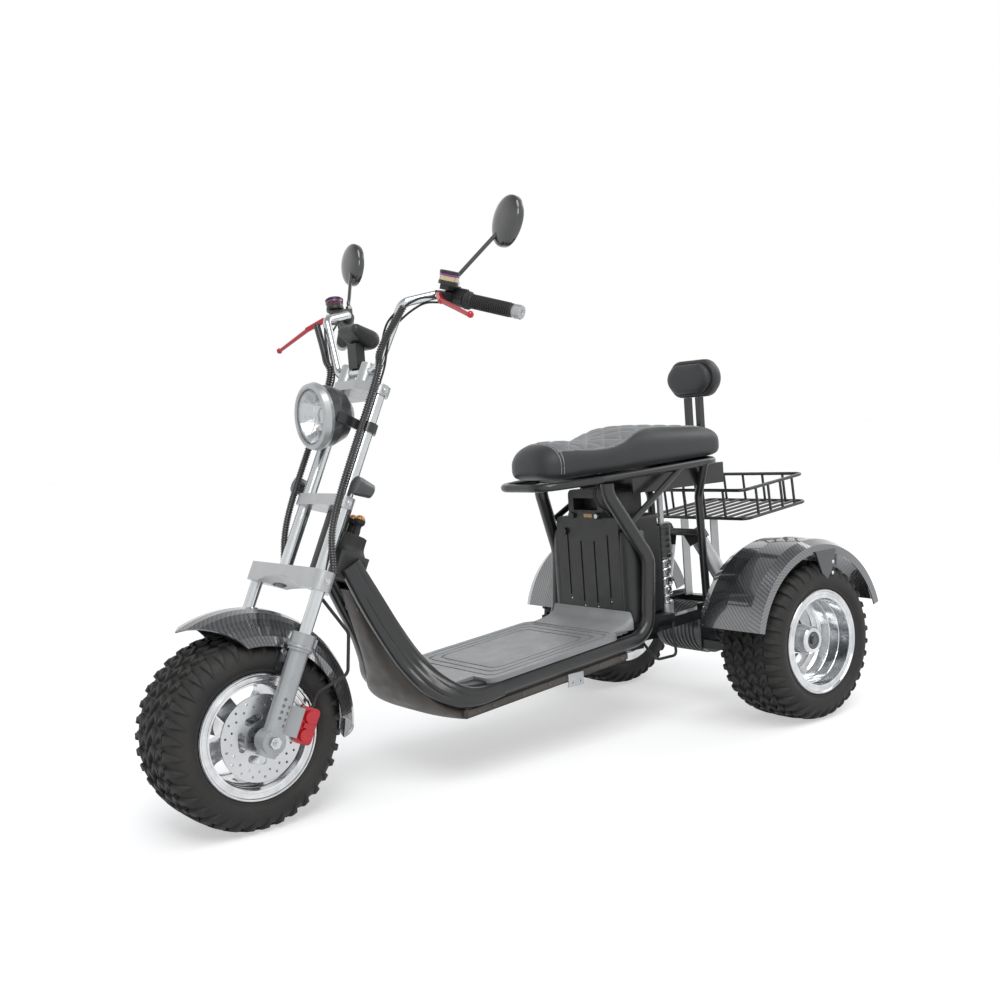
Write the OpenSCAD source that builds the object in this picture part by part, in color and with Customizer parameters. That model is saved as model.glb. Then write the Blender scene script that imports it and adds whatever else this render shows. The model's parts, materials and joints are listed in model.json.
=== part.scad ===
// Three-wheeled electric scooter with one steered front wheel, two driven rear wheels,
// a step-through tube frame, a long saddle with a backrest and a rear wire basket.
// Frame: +X forward, +Y to the rider's left, +Z up, origin on the floor under the middle.
// Inside the modules x counts forward from the rear axle; whole() moves it to the origin.

/* [Wheels] */
// Distance between the front and rear axles
wheelbase = 1500; // [1450:5:1560]
// Distance between the centre planes of the rear wheels
track = 772; // [750:2:800]
// Tyre diameter over the lugs
tyre_d = 436; // [428:2:444]
// Section width of the front tyre
front_tyre_w = 223; // [210:1:225]
// Section width of the rear tyres
rear_tyre_w = 205; // [195:1:215]
// Diameter of the rim flange
rim_d = 286; // [278:2:290]
// Height of the tread lugs
lug_h = 7; // [5:0.5:9]
// Lugs in one row round a tyre
lug_count = 36; // [30:1:44]
// Spokes in the front wheel
spoke_count = 5; // [3:1:7]
// Diameter of the front brake disc
disc_d = 196; // [180:2:204]

/* [Fork] */
// Rake of the steering axis from upright
rake = 25.5; // [23:0.5:28]
// Distance of the front axle ahead of the steering axis
fork_offset = 75; // [70:1:80]
// Distance between the fork legs
leg_gap = 310; // [306:1:320]
// Diameter of the lower legs
leg_d = 46; // [42:1:46]
// Diameter of the sliding stanchions
stanchion_d = 30; // [27:1:33]
// Distance between the upper fork tubes
tube_gap = 180; // [176:1:186]
// Diameter of the upper fork tubes
tube_d = 33; // [30:1:35]
// Height of the lower bridge's top face along the rake
bridge_top = 392; // [388:1:400]
// Height of the top clamp's lower face along the rake
clamp_top = 838; // [820:2:850]

/* [Frame] */
// Diameter of the main frame tubes
frame_d = 38; // [34:1:40]
// Half width between the floor tubes' centres
floor_half = 190; // [180:1:200]
// Height of the floor tubes at the front bend
floor_front_z = 213; // [205:1:220]
// Height of the floor tubes at the rear bend
floor_rear_z = 266; // [258:1:274]
// Height of the seat rail above the rear axle
rail_z = 722; // [714:1:730]
// Half width of the seat rail
rail_half = 142; // [136:1:148]

/* [Seat and load] */
// Length of the saddle
saddle_l = 650; // [630:5:670]
// Thickness of the saddle at the rear
saddle_h = 88; // [80:1:96]
// Half width of the basket
basket_half = 200; // [180:2:220]
// Length of the basket
basket_l = 276; // [240:2:300]
// Depth of the basket
basket_h = 85; // [70:1:100]
// Width of the battery
battery_w = 260; // [240:2:280]
// Height of the battery below its neck
battery_h = 285; // [270:1:300]

/* [Hidden] */
$fn = 48;

// Clearances: seats of fixed pieces, clamped or running round fits, and the pieces' play past moving ones
seat = 0.3;
fit = 0.05;
// How far a tube's straight runs reach into its bends, and how much slimmer they are there
weld_lap = 0.5;
weld_step = 0.04;

tyre_r = tyre_d / 2;
axle_z = tyre_r;
rim_r = rim_d / 2;
wheel_y = track / 2;
leg_y = leg_gap / 2;
tube_y = tube_gap / 2;
leg_r = leg_d / 2;
stanchion_r = stanchion_d / 2;
tube_r = tube_d / 2;
frame_r = frame_d / 2;

// Rim and tyre section
bead_r = rim_r - 17;
lip_inset = 9;
lip_t = 6;
barrel_t = 7;
carcass_r = tyre_r - lug_h;
axle_r = 8;
hub_r = 38;
front_hub_half = 60;
spoke_y = 40;
spoke_t = 24;
window_in = hub_r + 14;
window_out = bead_r - 29;
window_angle = 180 / spoke_count - 24;
disc_y = 112;
disc_t = 4;
disc_window_r = 50;
stub_r = 25;
dish_y = 358;
dish_t = 10;
hub_end_y = 450;
cap_r = 24;

// Fork stations along the rake, and the tubes' offset from the axle line
stem_t = -fork_offset;
tube_t = -28;
bridge_h = 46;
slider_top = 240;
collar_h = 40;
foot_r = 28;
vent_r = 4;
mid_s = 552;
mid_h = 28;
clamp_h = 24;
stem_r = 17;
head_r = 29;
head_play = 1;
head_low = bridge_top + head_play;
head_high = mid_s - head_play;
bar_r = 11;
riser_t = -4;
riser_y = 45;
riser_s = clamp_top + clamp_h + 31;
caliper_t = -72;
tab_y = front_tyre_w / 2 + 6;
tube_top = clamp_top + clamp_h + 4;

// Front and rear reach give the part's middle
basket_front_x = -32;
basket_bar_r = 5;
basket_pitch = 5.6;
basket_back_x = basket_front_x - basket_l * cos(basket_pitch) - basket_h * sin(basket_pitch) - basket_bar_r;
mid_x = (wheelbase + tyre_r + basket_back_x) / 2;

// Frame stations
floor_front_x = wheelbase - 510;
floor_rear_x = 395;
floor_pitch = atan((floor_rear_z - floor_front_z) / (floor_front_x - floor_rear_x));
neck_half = 56;
board_t = 13;
pan_drop = 46;
battery_x = floor_rear_x + 10;
battery_depth = 150;
battery_z = floor_rear_z + frame_r + 22;
rail_r = 11;
rail_pitch = 2.5;
rail_front_x = 634;
rail_taper_x = 470;
rail_rear_x = -8;
rail_nose_half = 92;
pivot = [floor_rear_x + 5, 0, floor_rear_z - 10];
carriage_y = 105;
carriage_w = 30;
carriage_z = 288;
floor_l = floor_front_x - floor_rear_x;
tube_bend = 70;
cross_r = 13;
pan_half = floor_half + 6;
bay_t = 8;
tongue_x = 32;
tongue_step = 1;
groove_w = 5;
groove_d = 3;
groove_gap = 24;
board_x = 84;
ear_half = 34;
ear_y = 150;
ear_t = 10;
bracket_hole_gap = 26;
bracket_hole_r = 3.3;
pivot_r = 9;
plate_t = 8;
arm_y = carriage_y + carriage_w / 2 + 2;
upper_z = 296;
lower_z = 190;
carrier_y = 256;
boss_r = 40;
drive_r = 72;
shaft_r = 14;
fender_r = tyre_r + 66;
fender_wall_r = fender_r - 60;
fender_in_y = wheel_y - 114;
fender_out_y = wheel_y + 97;
fender_foot_z = axle_z + fender_wall_r + 16;
saddle_rear = -38;
post_x = -60;
post_y = 23;
post_w = 18;
pad_z = rail_z + 243;
pad_h = 112;
box_x = post_x + post_w / 2 + seat;
box_l = 288;
box_half = 112;
box_z = rail_z - 70;
box_h = 60;
basket_z = rail_z - 94;

function unit(v) = v / norm(v);
function side_of(d) = unit(cross(abs(d.z) > 0.9 ? [1, 0, 0] : [0, 0, 1], d));
function ring_points(r, a, b, steps) =
  [for (i = [0:steps]) r * [cos(a + (b - a) * i / steps), sin(a + (b - a) * i / steps)]];
// A point in the fork's axes: t ahead of the axle across the rake, y to the left, s up the rake
function fork_at(p) = [wheelbase + p[0] * cos(rake) - p[2] * sin(rake), p[1],
  axle_z + p[0] * sin(rake) + p[2] * cos(rake)];

module whole() translate([-mid_x, 0, 0]) children();
module both_sides() {
  children();
  mirror([0, 1, 0]) children();
}
module axes(o, ex, ey, ez)
  multmatrix([[ex.x, ey.x, ez.x, o.x], [ex.y, ey.y, ez.y, o.y], [ex.z, ey.z, ez.z, o.z], [0, 0, 0, 1]]) children();
module along(p, q) {
  d = unit(q - p);
  s = side_of(d);
  axes(p, s, cross(d, s), d) children();
}
module rod(p, q, r) along(p, q) cylinder(r = r, h = norm(q - p));
module bar(p, q, w, h) along(p, q) translate([-w / 2, -h / 2, 0]) cube([w, h, norm(q - p)]);
// A round tube through the points, with each corner bent to the radius
module bent_tube(pts, bend, r) {
  n = len(pts);
  dir = [for (i = [0:n - 2]) unit(pts[i + 1] - pts[i])];
  turn = [for (i = [0:n - 1]) i == 0 || i == n - 1 ? 0 : acos(dir[i - 1] * dir[i])];
  cut = [for (a = turn) bend * tan(a / 2)];
  for (i = [0:n - 2]) {
    lead_in = i == 0 ? 0 : weld_lap;
    lead_out = i == n - 2 ? 0 : weld_lap;
    rod(pts[i] + dir[i] * (cut[i] - lead_in), pts[i + 1] - dir[i] * (cut[i + 1] - lead_out), r - weld_step);
  }
  for (i = [1:n - 2]) {
    centre = pts[i] + unit(dir[i] - dir[i - 1]) * bend / cos(turn[i] / 2);
    ex = unit(pts[i] - dir[i - 1] * cut[i] - centre);
    axes(centre, ex, dir[i - 1], cross(ex, dir[i - 1]))
      rotate_extrude(angle = turn[i]) translate([bend, 0]) circle(r);
  }
}
// The fork's own axes: x ahead of the axle line, z up the rake from the axle
module fork_frame() translate([wheelbase, 0, axle_z]) rotate([0, -rake, 0]) children();
// The floor's own axes: x forward from the rear bend along the sloping tubes
module floor_frame() translate([floor_rear_x, 0, floor_rear_z]) rotate([0, floor_pitch, 0]) children();
// A profile in radius and width turned round a wheel axle from one angle above the front to another
module about_axle(from, to)
  rotate([90, 0, 0]) rotate([0, 0, from]) rotate_extrude(angle = to - from) mirror([0, 1, 0]) children();
module wheel_turn() rotate([90, 0, 0]) rotate_extrude() mirror([0, 1, 0]) children();
module across(r, y0, y1) translate([0, y0, 0]) rotate([-90, 0, 0]) cylinder(r = r, h = y1 - y0);

// Tyre: carcass with a flat crown and two staggered rows of lugs
module lug_ring(from, to, phase) {
  pitch = 360 / lug_count;
  rotate([0, phase * pitch, 0]) translate([0, to, 0]) rotate([90, 0, 0]) linear_extrude(to - from) difference() {
    polygon([for (i = [0:lug_count - 1], k = [0:3])
      let (a = (i + [0.0, 0.1, 0.48, 0.58][k] - 0.29) * pitch - 90, r = k == 1 || k == 2 ? tyre_r : carcass_r - 14)
      r * [cos(a), sin(a)]]);
    circle(carcass_r - 20);
  }
}
module tyre(w) {
  half = w / 2;
  bead_half = half - lip_inset - lip_t - seat;
  crown_half = half - 27;
  wheel_turn() polygon([[bead_r + seat, -bead_half], [rim_r + seat, -bead_half], [rim_r + 6, -half + 8],
    [rim_r + 34, -half], [carcass_r - 16, -half + 5], [carcass_r, -crown_half], [carcass_r, crown_half],
    [carcass_r - 16, half - 5], [rim_r + 34, half], [rim_r + 6, half - 8], [rim_r + seat, bead_half],
    [bead_r + seat, bead_half]]);
  lug_ring(4, half - 12, 0);
  lug_ring(-half + 12, -4, 0.5);
}
// Rim barrel with its two flanges
module barrel(w) {
  lip = w / 2 - lip_inset;
  wheel_turn() polygon([[bead_r - barrel_t, -lip], [rim_r, -lip], [rim_r, -lip + lip_t], [bead_r, -lip + lip_t],
    [bead_r, lip - lip_t], [rim_r, lip - lip_t], [rim_r, lip], [bead_r - barrel_t, lip]]);
}

// Main frame: each side is one tube from the head, round the floor and up the rear hoop
function board_top(x) = floor_at(x) + (frame_r + seat + board_t) / cos(floor_pitch);
function floor_at(x) = floor_front_z + (floor_front_x - x) * tan(floor_pitch);
neck_top = fork_at([stem_t - 34, neck_half, head_low + 39]);
neck_foot = [floor_front_x + 76, neck_half + 12, floor_front_z + 77];
function neck_x(z) = neck_foot.x + (z - neck_foot.z) * (neck_top.x - neck_foot.x) / (neck_top.z - neck_foot.z);
function rail_at(x) = rail_z - x * tan(rail_pitch);
hoop_top = [floor_rear_x + 51, rail_half, rail_at(floor_rear_x + 51) - 40];
tube_path = [neck_top, neck_foot, [floor_front_x, floor_half, floor_front_z],
  [floor_rear_x - 20, floor_half, floor_at(floor_rear_x - 20)], [floor_rear_x - 39, floor_half, rail_z - 242], hoop_top,
  [hoop_top.x, rail_half, rail_at(hoop_top.x + frame_r) - rail_r - seat]];
module side_tube(r) bent_tube(tube_path, tube_bend, r);
module main_frame() color("#222426") whole() {
  both_sides() side_tube(frame_r);
  fork_frame() difference() {
    union() {
      translate([stem_t, 0, head_low]) cylinder(r = head_r, h = head_high - head_low);
      translate([stem_t - 86, -neck_half, head_low + 12]) cube([80, 2 * neck_half, 62]);
      translate([stem_t - 78, -neck_half + 26, head_low + 70]) cube([70, 2 * neck_half - 52, 50]);
    }
    translate([stem_t, 0, 0]) cylinder(r = stem_r + fit, h = mid_s);
  }
  for (x = [floor_front_x - 90, floor_front_x - 350, floor_rear_x + 45])
    rod([x, -floor_half, floor_at(x)], [x, floor_half, floor_at(x)], cross_r);
  both_sides() difference() {
    translate([pivot.x - ear_half, ear_y, pivot.z - 26]) cube([2 * ear_half, ear_t, 52]);
    translate([pivot.x, 0, pivot.z]) across(pivot_r + fit, ear_y - 1, ear_y + ear_t + 1);
  }
  both_sides() translate([pivot.x - 8, ear_y + ear_t - 1, pivot.z - 20])
    cube([44, floor_half - ear_y - ear_t, 20]);
}

// Under-floor pan with the fairing that closes the front of the neck
module slab(x, z, half, depth, h) translate([x - depth, -half, z]) cube([depth, 2 * half, h]);
module neck_rods(r) both_sides() {
  corner = tube_path[2];
  down = unit(neck_foot - neck_top);
  into = unit(corner - neck_foot);
  out = unit(tube_path[3] - corner);
  rod(neck_top, neck_foot, r);
  rod(neck_foot, corner, r);
  rod(neck_foot - down * 44, neck_foot + into * 44, r + 13);
  rod(corner - into * 56, corner + out * 56, r + 12);
}
module belly_pan() color("#2a2624") whole() difference() {
  low_z = floor_front_z - pan_drop;
  bend_z = neck_foot.z + 56;
  union() {
    floor_frame() translate([60, -pan_half, -pan_drop])
      cube([floor_l - 46, 2 * pan_half, pan_drop - frame_r - seat]);
    hull() {
      slab(floor_front_x + 40, low_z + 2, pan_half - 16, 56, 24);
      slab(neck_x(low_z + 95) + 57, low_z + 95, neck_half + 28, 30, 4);
      slab(neck_x(bend_z) + 49, bend_z, neck_half - 6, 40, 4);
    }
    hull() {
      slab(neck_x(bend_z) + 46, bend_z - 4, neck_half - 8, 34, 4);
      slab(neck_x(bend_z + 140) + 18, bend_z + 140, neck_half - 16, 36, 4);
    }
  }
  neck_rods(frame_r + seat);
}

module neck_cover() color("#3c3d3f") whole() difference() {
  low = neck_foot.z - 6;
  high = neck_foot.z + 210;
  hull() {
    slab(neck_x(high) - 20, high, neck_half + 14, 30, 4);
    slab(neck_x(low) - 22, low, neck_half + 26, 30, 4);
  }
  neck_rods(frame_r + seat);
}

// Footboard: grooves in rounded loops round a flat middle
module board_plan(inset) hull() for (x = [board_x + inset, floor_l - 66 - inset], y = [-1, 1])
  translate([x + (x < floor_l / 2 ? 30 : -30), y * (floor_half + 8 - inset - 30)]) circle(30);
module footboard() color("#8d9092") whole() floor_frame() difference() {
  tongue_half = floor_half - frame_r - 4;
  front_half = floor_half - 62;
  low = frame_r + seat;
  union() {
    translate([0, 0, low]) linear_extrude(board_t) board_plan(0);
    translate([floor_l - 98, -front_half, low]) cube([96, 2 * front_half, board_t]);
    translate([tongue_x, -tongue_half, low]) cube([board_x - tongue_x + 31, 2 * tongue_half, board_t - tongue_step]);
  }
  for (i = [0:2]) translate([0, 0, low + board_t - groove_d]) linear_extrude(groove_d + 1) difference() {
    board_plan(20 + groove_gap * i);
    board_plan(20 + groove_gap * i + groove_w);
  }
}

// Battery in its bay between the hoop tubes
module battery_bay() color("#333436") whole() {
  bay_half = floor_half - frame_r - seat;
  bay_x = battery_x - battery_depth - bay_t - seat;
  low = board_top(floor_rear_x + tongue_x) - tongue_step + seat;
  difference() {
    union() {
      translate([0, 0, low]) linear_extrude(battery_h - 20) hull() {
        translate([bay_x, -bay_half]) square([20, 2 * bay_half]);
        for (y = [-1, 1]) translate([battery_x - 40, y * (bay_half - 30)]) circle(30);
      }
      translate([bay_x, -bay_half + 8, low]) cube([battery_x + 44 - bay_x, 2 * bay_half - 16, battery_z - seat - low]);
    }
    translate([bay_x + bay_t, -battery_w / 2 - seat, battery_z - seat]) cube([400, battery_w + 2 * seat, 400]);
    both_sides() rod(tube_path[4] - [0, 0, 40], tube_path[4] + [-10, 0, 60], frame_r + 1.5);
    both_sides() rod(tube_path[4], tube_path[5], frame_r + 2);
  }
}

module rounded(w, low, high, r) hull() for (y = [-1, 1], z = [low + r, high - r])
  translate([y * (w - r), z]) circle(r);
module battery_pack() color("#3a3835") whole() {
  neck_half_w = 72;
  neck_h = 78;
  corner = 16;
  top = battery_z + battery_h;
  half = battery_w / 2;
  difference() {
    translate([battery_x - battery_depth, 0, 0]) rotate([90, 0, 90]) linear_extrude(battery_depth) {
      rounded(half, battery_z, top, corner);
      rounded(neck_half_w, top - 60, top + neck_h, corner);
    }
    translate([battery_x - 40, -50, top + 20]) cube([60, 100, 34]);
    for (i = [0:3]) translate([battery_x - 3, 0, battery_z + 34 + 18 * abs(i - 1.5)]) {
      translate([0, -84 + 56 * i - 3, 0]) cube([4, 6, battery_h - 110]);
      translate([0, -84 + 56 * i, -12]) rotate([0, 90, 0]) cylinder(r = 5, h = 4);
    }
  }
  translate([battery_x - 1, -half + 38, top - 42]) rotate([0, 90, 0]) cylinder(r = 10, h = 9);
}

// Route of the battery lead from the seat rail to the pack's shoulder
lead_path = [[hoop_top.x + 6, 110, rail_at(hoop_top.x + 6) - rail_r - seat],
  [hoop_top.x + 24, 112, rail_at(hoop_top.x) - 42],
  [battery_x + 45, 108, battery_z + battery_h + 40], [battery_x, 90, battery_z + battery_h + 24],
  [battery_x - 25, 84, battery_z + battery_h + 4 + seat]];
module battery_lead() color("#151515") whole() bent_tube(lead_path, 12, 4);

// Seat frame: a sloping rail loop with cross rods, a box under its rear, legs, braces and the shocks' mounts
module rail_frame() translate([0, 0, rail_z]) rotate([0, rail_pitch, 0]) children();
module seat_frame() color("#1f2022") whole() {
  strut_y = carriage_y - 5;
  rail_frame() {
    bent_tube([[rail_rear_x, -30, 0], [rail_rear_x, -rail_half, 0], [rail_taper_x, -rail_half, 0],
      [rail_front_x, -rail_nose_half, 0], [rail_front_x, rail_nose_half, 0], [rail_taper_x, rail_half, 0],
      [rail_rear_x, rail_half, 0], [rail_rear_x, weld_lap - 30, 0]], 60, rail_r);
    for (x = [60, hoop_top.x + 6]) rod([x, -rail_half, 0], [x, rail_half, 0], rail_r - 1);
  }
  translate([box_x, -box_half, box_z]) cube([box_l, 2 * box_half, box_h]);
  both_sides() translate([box_x + box_l - 1, box_half - 5, box_z]) cube([86, 5, box_h - 10]);
  both_sides() bent_tube([[60, rail_half, rail_at(60)], [50, strut_y, rail_z - 102],
    [40, strut_y, carriage_top(40) + seat]], 40, 12);
  both_sides() difference() {
    rod([150, rail_half, rail_at(150)], (tube_path[4] + tube_path[5]) / 2, 9);
    rod(tube_path[4], tube_path[5], frame_r + seat);
  }
  rod([46, -strut_y, shock_top.z + 29], [46, strut_y, shock_top.z + 29], 11);
  both_sides() along(shock_top, shock_low) translate([-15, -30, -40]) cube([30, 60, 40 - seat]);
}

// Saddle: a low nose, a dip for the rider and a raised crest that falls to the rear
module pair(x, y, z, r) both_sides() translate([x, y, z]) sphere(r);
module saddle() color("#3b3d40") whole() rail_frame() {
  $fn = 20;
  low = rail_r + seat;
  nose = saddle_rear + saddle_l;
  crest_x = 280;
  dip_x = 415;
  hull() {
    pair(saddle_rear + 20, 124, low + 20, 20);
    pair(saddle_rear + 30, 106, low + saddle_h - 26, 26);
    pair(crest_x, 124, low + 20, 20);
    pair(crest_x, 92, low + saddle_h + 2, 30);
  }
  hull() {
    pair(crest_x - 20, 122, low + 20, 20);
    pair(crest_x - 20, 90, low + saddle_h - 1, 30);
    pair(dip_x, 108, low + 20, 20);
    pair(dip_x, 86, low + saddle_h - 24, 30);
  }
  hull() {
    pair(dip_x - 20, 107, low + 20, 20);
    pair(dip_x - 20, 84, low + saddle_h - 26, 30);
    pair(nose - 22, 74, low + 22, 22);
    pair(nose - 44, 60, low + saddle_h - 18, 34);
  }
}

module backrest_posts() color("#242527") whole() both_sides()
  translate([post_x - post_w / 2, post_y - post_w / 2, box_z + 4])
    cube([post_w, post_w, pad_z - pad_h / 2 - seat - box_z - 4]);

module backrest_pad() color("#242527") whole() hull() both_sides()
  for (z = [-30, 30]) translate([post_x, 70, pad_z + z]) rotate([0, 90, 0])
    cylinder(r = pad_h / 2 - 30, h = 64, center = true);

module basket() color("#191a1b") whole() translate([basket_front_x, 0, basket_z]) rotate([0, basket_pitch, 0]) {
  for (z = [0, -basket_h])
    bent_tube([[-basket_l / 2, -basket_half, z], [0, -basket_half, z], [0, basket_half, z],
      [-basket_l, basket_half, z], [-basket_l, -basket_half, z], [-basket_l / 2 + weld_lap, -basket_half, z]],
      24, basket_bar_r);
  for (i = [1:4]) both_sides()
    rod([-basket_l * i / 5, basket_half, -basket_h], [-basket_l * i / 5, basket_half, 0], basket_bar_r - 1);
  for (i = [1:4], x = [0, -basket_l], y = -basket_half + i * basket_half * 0.4)
    rod([x, y, -basket_h], [x, y, 0], basket_bar_r - 1);
  for (i = [1:8], y = -basket_half + i * basket_half / 4.5)
    rod([0, y, -basket_h], [-basket_l, y, -basket_h], basket_bar_r - 1);
}

// Flat stays from the carriage to the basket's front floor bar
module basket_stays() color("#b8bab8") whole() both_sides() {
  x = basket_front_x - basket_h * sin(basket_pitch);
  top = basket_z - basket_h * cos(basket_pitch) - basket_bar_r - seat;
  translate([x - 26, 58, carriage_top(x)]) cube([30, 5, top - carriage_top(x)]);
}

// Rear carriage: two square rails from the pivot, cross pieces and the arms' side plates
carriage_run = [[pivot.x - ear_half - seat, 0, pivot.z + 6], [-80, 0, carriage_z]];
function carriage_top(x) = let (f = (x - carriage_run[0].x) / (carriage_run[1].x - carriage_run[0].x))
  carriage_run[0].z + f * (carriage_run[1].z - carriage_run[0].z) + carriage_w / 2 + seat;
module rear_carriage() color("#202123") whole() {
  both_sides() translate([0, carriage_y, 0]) bar(carriage_run[0], carriage_run[1], carriage_w, carriage_w);
  for (x = [-70, 190]) translate([x - 15, -carriage_y, carriage_top(x) - carriage_w - seat])
    cube([30, 2 * carriage_y, carriage_w - 2]);
  both_sides() difference() {
    translate([-98, arm_y - plate_t, lower_z - 16]) cube([196, plate_t, upper_z - lower_z + 30]);
    translate([0, 0, axle_z]) across(boss_r + 2, 0, 200);
    rod(on_shock(0.4), on_shock(1), spring_r + 4);
  }
}

module drive_unit() color("#4a4b4d") whole() translate([0, 0, axle_z]) {
  across(drive_r, -carriage_y + carriage_w / 2 + seat, carriage_y - carriage_w / 2 - seat);
  across(boss_r, -arm_y, arm_y);
  for (i = [-4:4]) across(drive_r + 3, i * 16 - 2, i * 16 + 2);
}

// Upper and lower arms that carry the wheels
module wishbones() color("#1f2022") whole() both_sides() intersection() {
  union() {
    for (x = [26, 70]) bar([x, arm_y - 10, upper_z], [x / 2 + 8, carrier_y + 10, upper_z + 8], 20, 20);
    for (x = [-80, 80]) bar([x, arm_y - 10, lower_z], [x / 2, carrier_y + 10, lower_z - 12], 24, 24);
  }
  translate([-200, arm_y + seat, 0]) cube([400, carrier_y - arm_y - 2 * seat, 400]);
}

// Wheel carriers with their bearings and the stays that hold the fenders
module wheel_carriers() color("#2b2c2e") whole() both_sides() difference() {
  union() {
    translate([0, 0, axle_z]) across(46, carrier_y + seat, 300);
    translate([-46, carrier_y + seat, lower_z - 28]) cube([92, 14, upper_z - lower_z + 56]);
    for (x = [-40, 26]) translate([x, carrier_y + seat + 2, upper_z])
      cube([14, fender_in_y - carrier_y - 2 * seat - 2, fender_foot_z - upper_z]);
  }
  translate([0, 0, axle_z]) across(stub_r + fit, 200, 320);
}

// Coil-over shocks that lean outwards from the frame to the lower arms
shock_top = [19, 66, 481];
shock_low = [-56, 197, 205];
spring_r = 27;
function on_shock(f) = shock_top + f * (shock_low - shock_top);
strut_x = 215;
perch_r = 22;
strut_low = carriage_top(strut_x - perch_r);
strut_high = box_z - seat;
perch_h = 40;
can_z = strut_low + 172;
module upright() translate([strut_x, carriage_y, 0]) children();
module shock_bodies() color("#b9bcbf") whole() both_sides() {
  rod(shock_top, on_shock(0.42), 24);
  rod(on_shock(0.4), on_shock(1), 9);
  rod(on_shock(0.902), on_shock(0.925), spring_r - 1);
  upright() {
    translate([0, 0, strut_low]) cylinder(r = 9, h = strut_high - strut_low);
    translate([0, 0, strut_low]) cylinder(r = perch_r, h = perch_h);
    translate([0, 0, can_z]) cylinder(r = 25, h = 100);
  }
}
// A coil of round wire that fills the length from one point to the other
module coil(p, q, turns, r, wire) {
  sides = 6;
  steps = 12 * turns;
  rise = wire * cos(180 / sides);
  run = norm(q - p) - 2 * rise;
  along(p, q) polyhedron(
    points = [for (i = [0:steps], k = [0:sides - 1]) let (a = 360 * turns * i / steps, b = 360 * k / sides)
      [(r + wire * cos(b)) * cos(a), (r + wire * cos(b)) * sin(a), rise + run * i / steps + wire * sin(b)]],
    faces = concat([[for (k = [0:sides - 1]) sides - 1 - k]], [[for (k = [0:sides - 1]) steps * sides + k]],
      [for (i = [0:steps - 1], k = [0:sides - 1], h = [0, 1])
        let (a = i * sides + k, b = i * sides + (k + 1) % sides)
        h == 0 ? [a, b, b + sides] : [a, b + sides, a + sides]]));
}
module shock_springs() color("#26272a") whole() both_sides() {
  coil(on_shock(0.422), on_shock(0.9), 5, spring_r - 5, 5);
  upright() coil([0, 0, strut_low + perch_h + seat], [0, 0, can_z - seat], 5, 17, 4);
}

// Rear fender: a crowned shell round the tyre with an inner wall, an outer lip and a fixing tab
module rear_fender() translate([0, 0, axle_z]) {
  r = fender_r;
  i = fender_in_y;
  o = fender_out_y;
  about_axle(14, 164) polygon([[fender_wall_r, i], [r - 18, i], [r - 4, i + 30], [r, i + 100], [r - 4, o - 30],
    [r - 18, o], [r - 40, o], [r - 40, o - 3], [r - 20, o - 4], [r - 8, o - 32], [r - 4, i + 100], [r - 8, i + 32],
    [r - 21, i + 4], [fender_wall_r, i + 4]]);
}
module rear_fender_left() color("#4b4e50") whole() rear_fender();
module rear_fender_right() color("#4b4e50") whole() mirror([0, 1, 0]) rear_fender();

module side_bracket() color("#b5b7b8") whole() translate([floor_rear_x + 255, pan_half + seat, floor_at(650) - 60])
  difference() {
    translate([-bracket_hole_gap, 0, 0]) cube([2 * bracket_hole_gap, 4, 34]);
    for (x = [-bracket_hole_gap / 2, bracket_hole_gap / 2]) translate([x, 0, 12]) across(bracket_hole_r, -1, 5);
  }

module marker_lamps() color("#c98a2b") whole() fork_frame() for (y = [-16, 16])
  translate([stem_t - 50, y, head_low + 120 + seat]) {
    cylinder(r = 7, h = 30);
    translate([0, 0, 40]) sphere(14);
  }

rear_hose = [[330, 122, 232], [330, 170, 190], [250, 170, 190], [240, 150, 262], [210, 124, 270]];
module rear_brake_hose() color("#141414") whole() bent_tube(rear_hose, 16, 4);

// Fork and steering
module fork_hole(t, y, r) translate([t, y, -50]) cylinder(r = r + fit, h = 1200);
module tube_holes() {
  both_sides() fork_hole(tube_t, tube_y, tube_r);
  fork_hole(stem_t, 0, stem_r);
}
module lower_bridge() color("#d7d9d8") whole() fork_frame() difference() {
  translate([0, 0, bridge_top - bridge_h]) linear_extrude(bridge_h) hull() {
    both_sides() translate([0, leg_y]) circle(26);
    both_sides() translate([tube_t, tube_y]) circle(26);
    translate([stem_t, 0]) circle(28);
  }
  both_sides() fork_hole(0, leg_y, stanchion_r);
  tube_holes();
  translate([60, 0, bridge_top - bridge_h - 250]) rotate([0, -90, 0]) cylinder(r = 270, h = 220);
}
module steering_stem() color("#3a3b3d") whole() fork_frame() translate([stem_t, 0, bridge_top - 24])
  cylinder(r = stem_r, h = mid_s + mid_h - bridge_top + 24);
module mid_clamp() color("#d7d9d8") whole() fork_frame() difference() {
  translate([0, 0, mid_s]) linear_extrude(mid_h) hull() {
    both_sides() translate([tube_t, tube_y]) circle(24);
    translate([stem_t, 0]) circle(26);
  }
  tube_holes();
}
module top_clamp() color("#d7d9d8") whole() fork_frame() difference() {
  union() {
    translate([0, 0, clamp_top]) linear_extrude(clamp_h) hull() {
      both_sides() translate([tube_t, tube_y]) circle(24);
      both_sides() translate([riser_t, riser_y]) circle(24);
    }
    both_sides() translate([riser_t, riser_y, clamp_top]) cylinder(r = 20, h = riser_s + 18 - clamp_top);
  }
  both_sides() fork_hole(tube_t, tube_y, tube_r);
  translate([riser_t, 0, riser_s]) across(bar_r + fit, -200, 200);
}
module fork_tubes() color("#c9cccd") whole() fork_frame() both_sides()
  translate([tube_t, tube_y, bridge_top - bridge_h + 26]) cylinder(r = tube_r, h = tube_top - bridge_top + bridge_h - 26);
module fork_stanchions() color("#c9cccd") whole() fork_frame() both_sides()
  translate([0, leg_y, 60]) cylinder(r = stanchion_r, h = bridge_top - 60);
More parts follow.
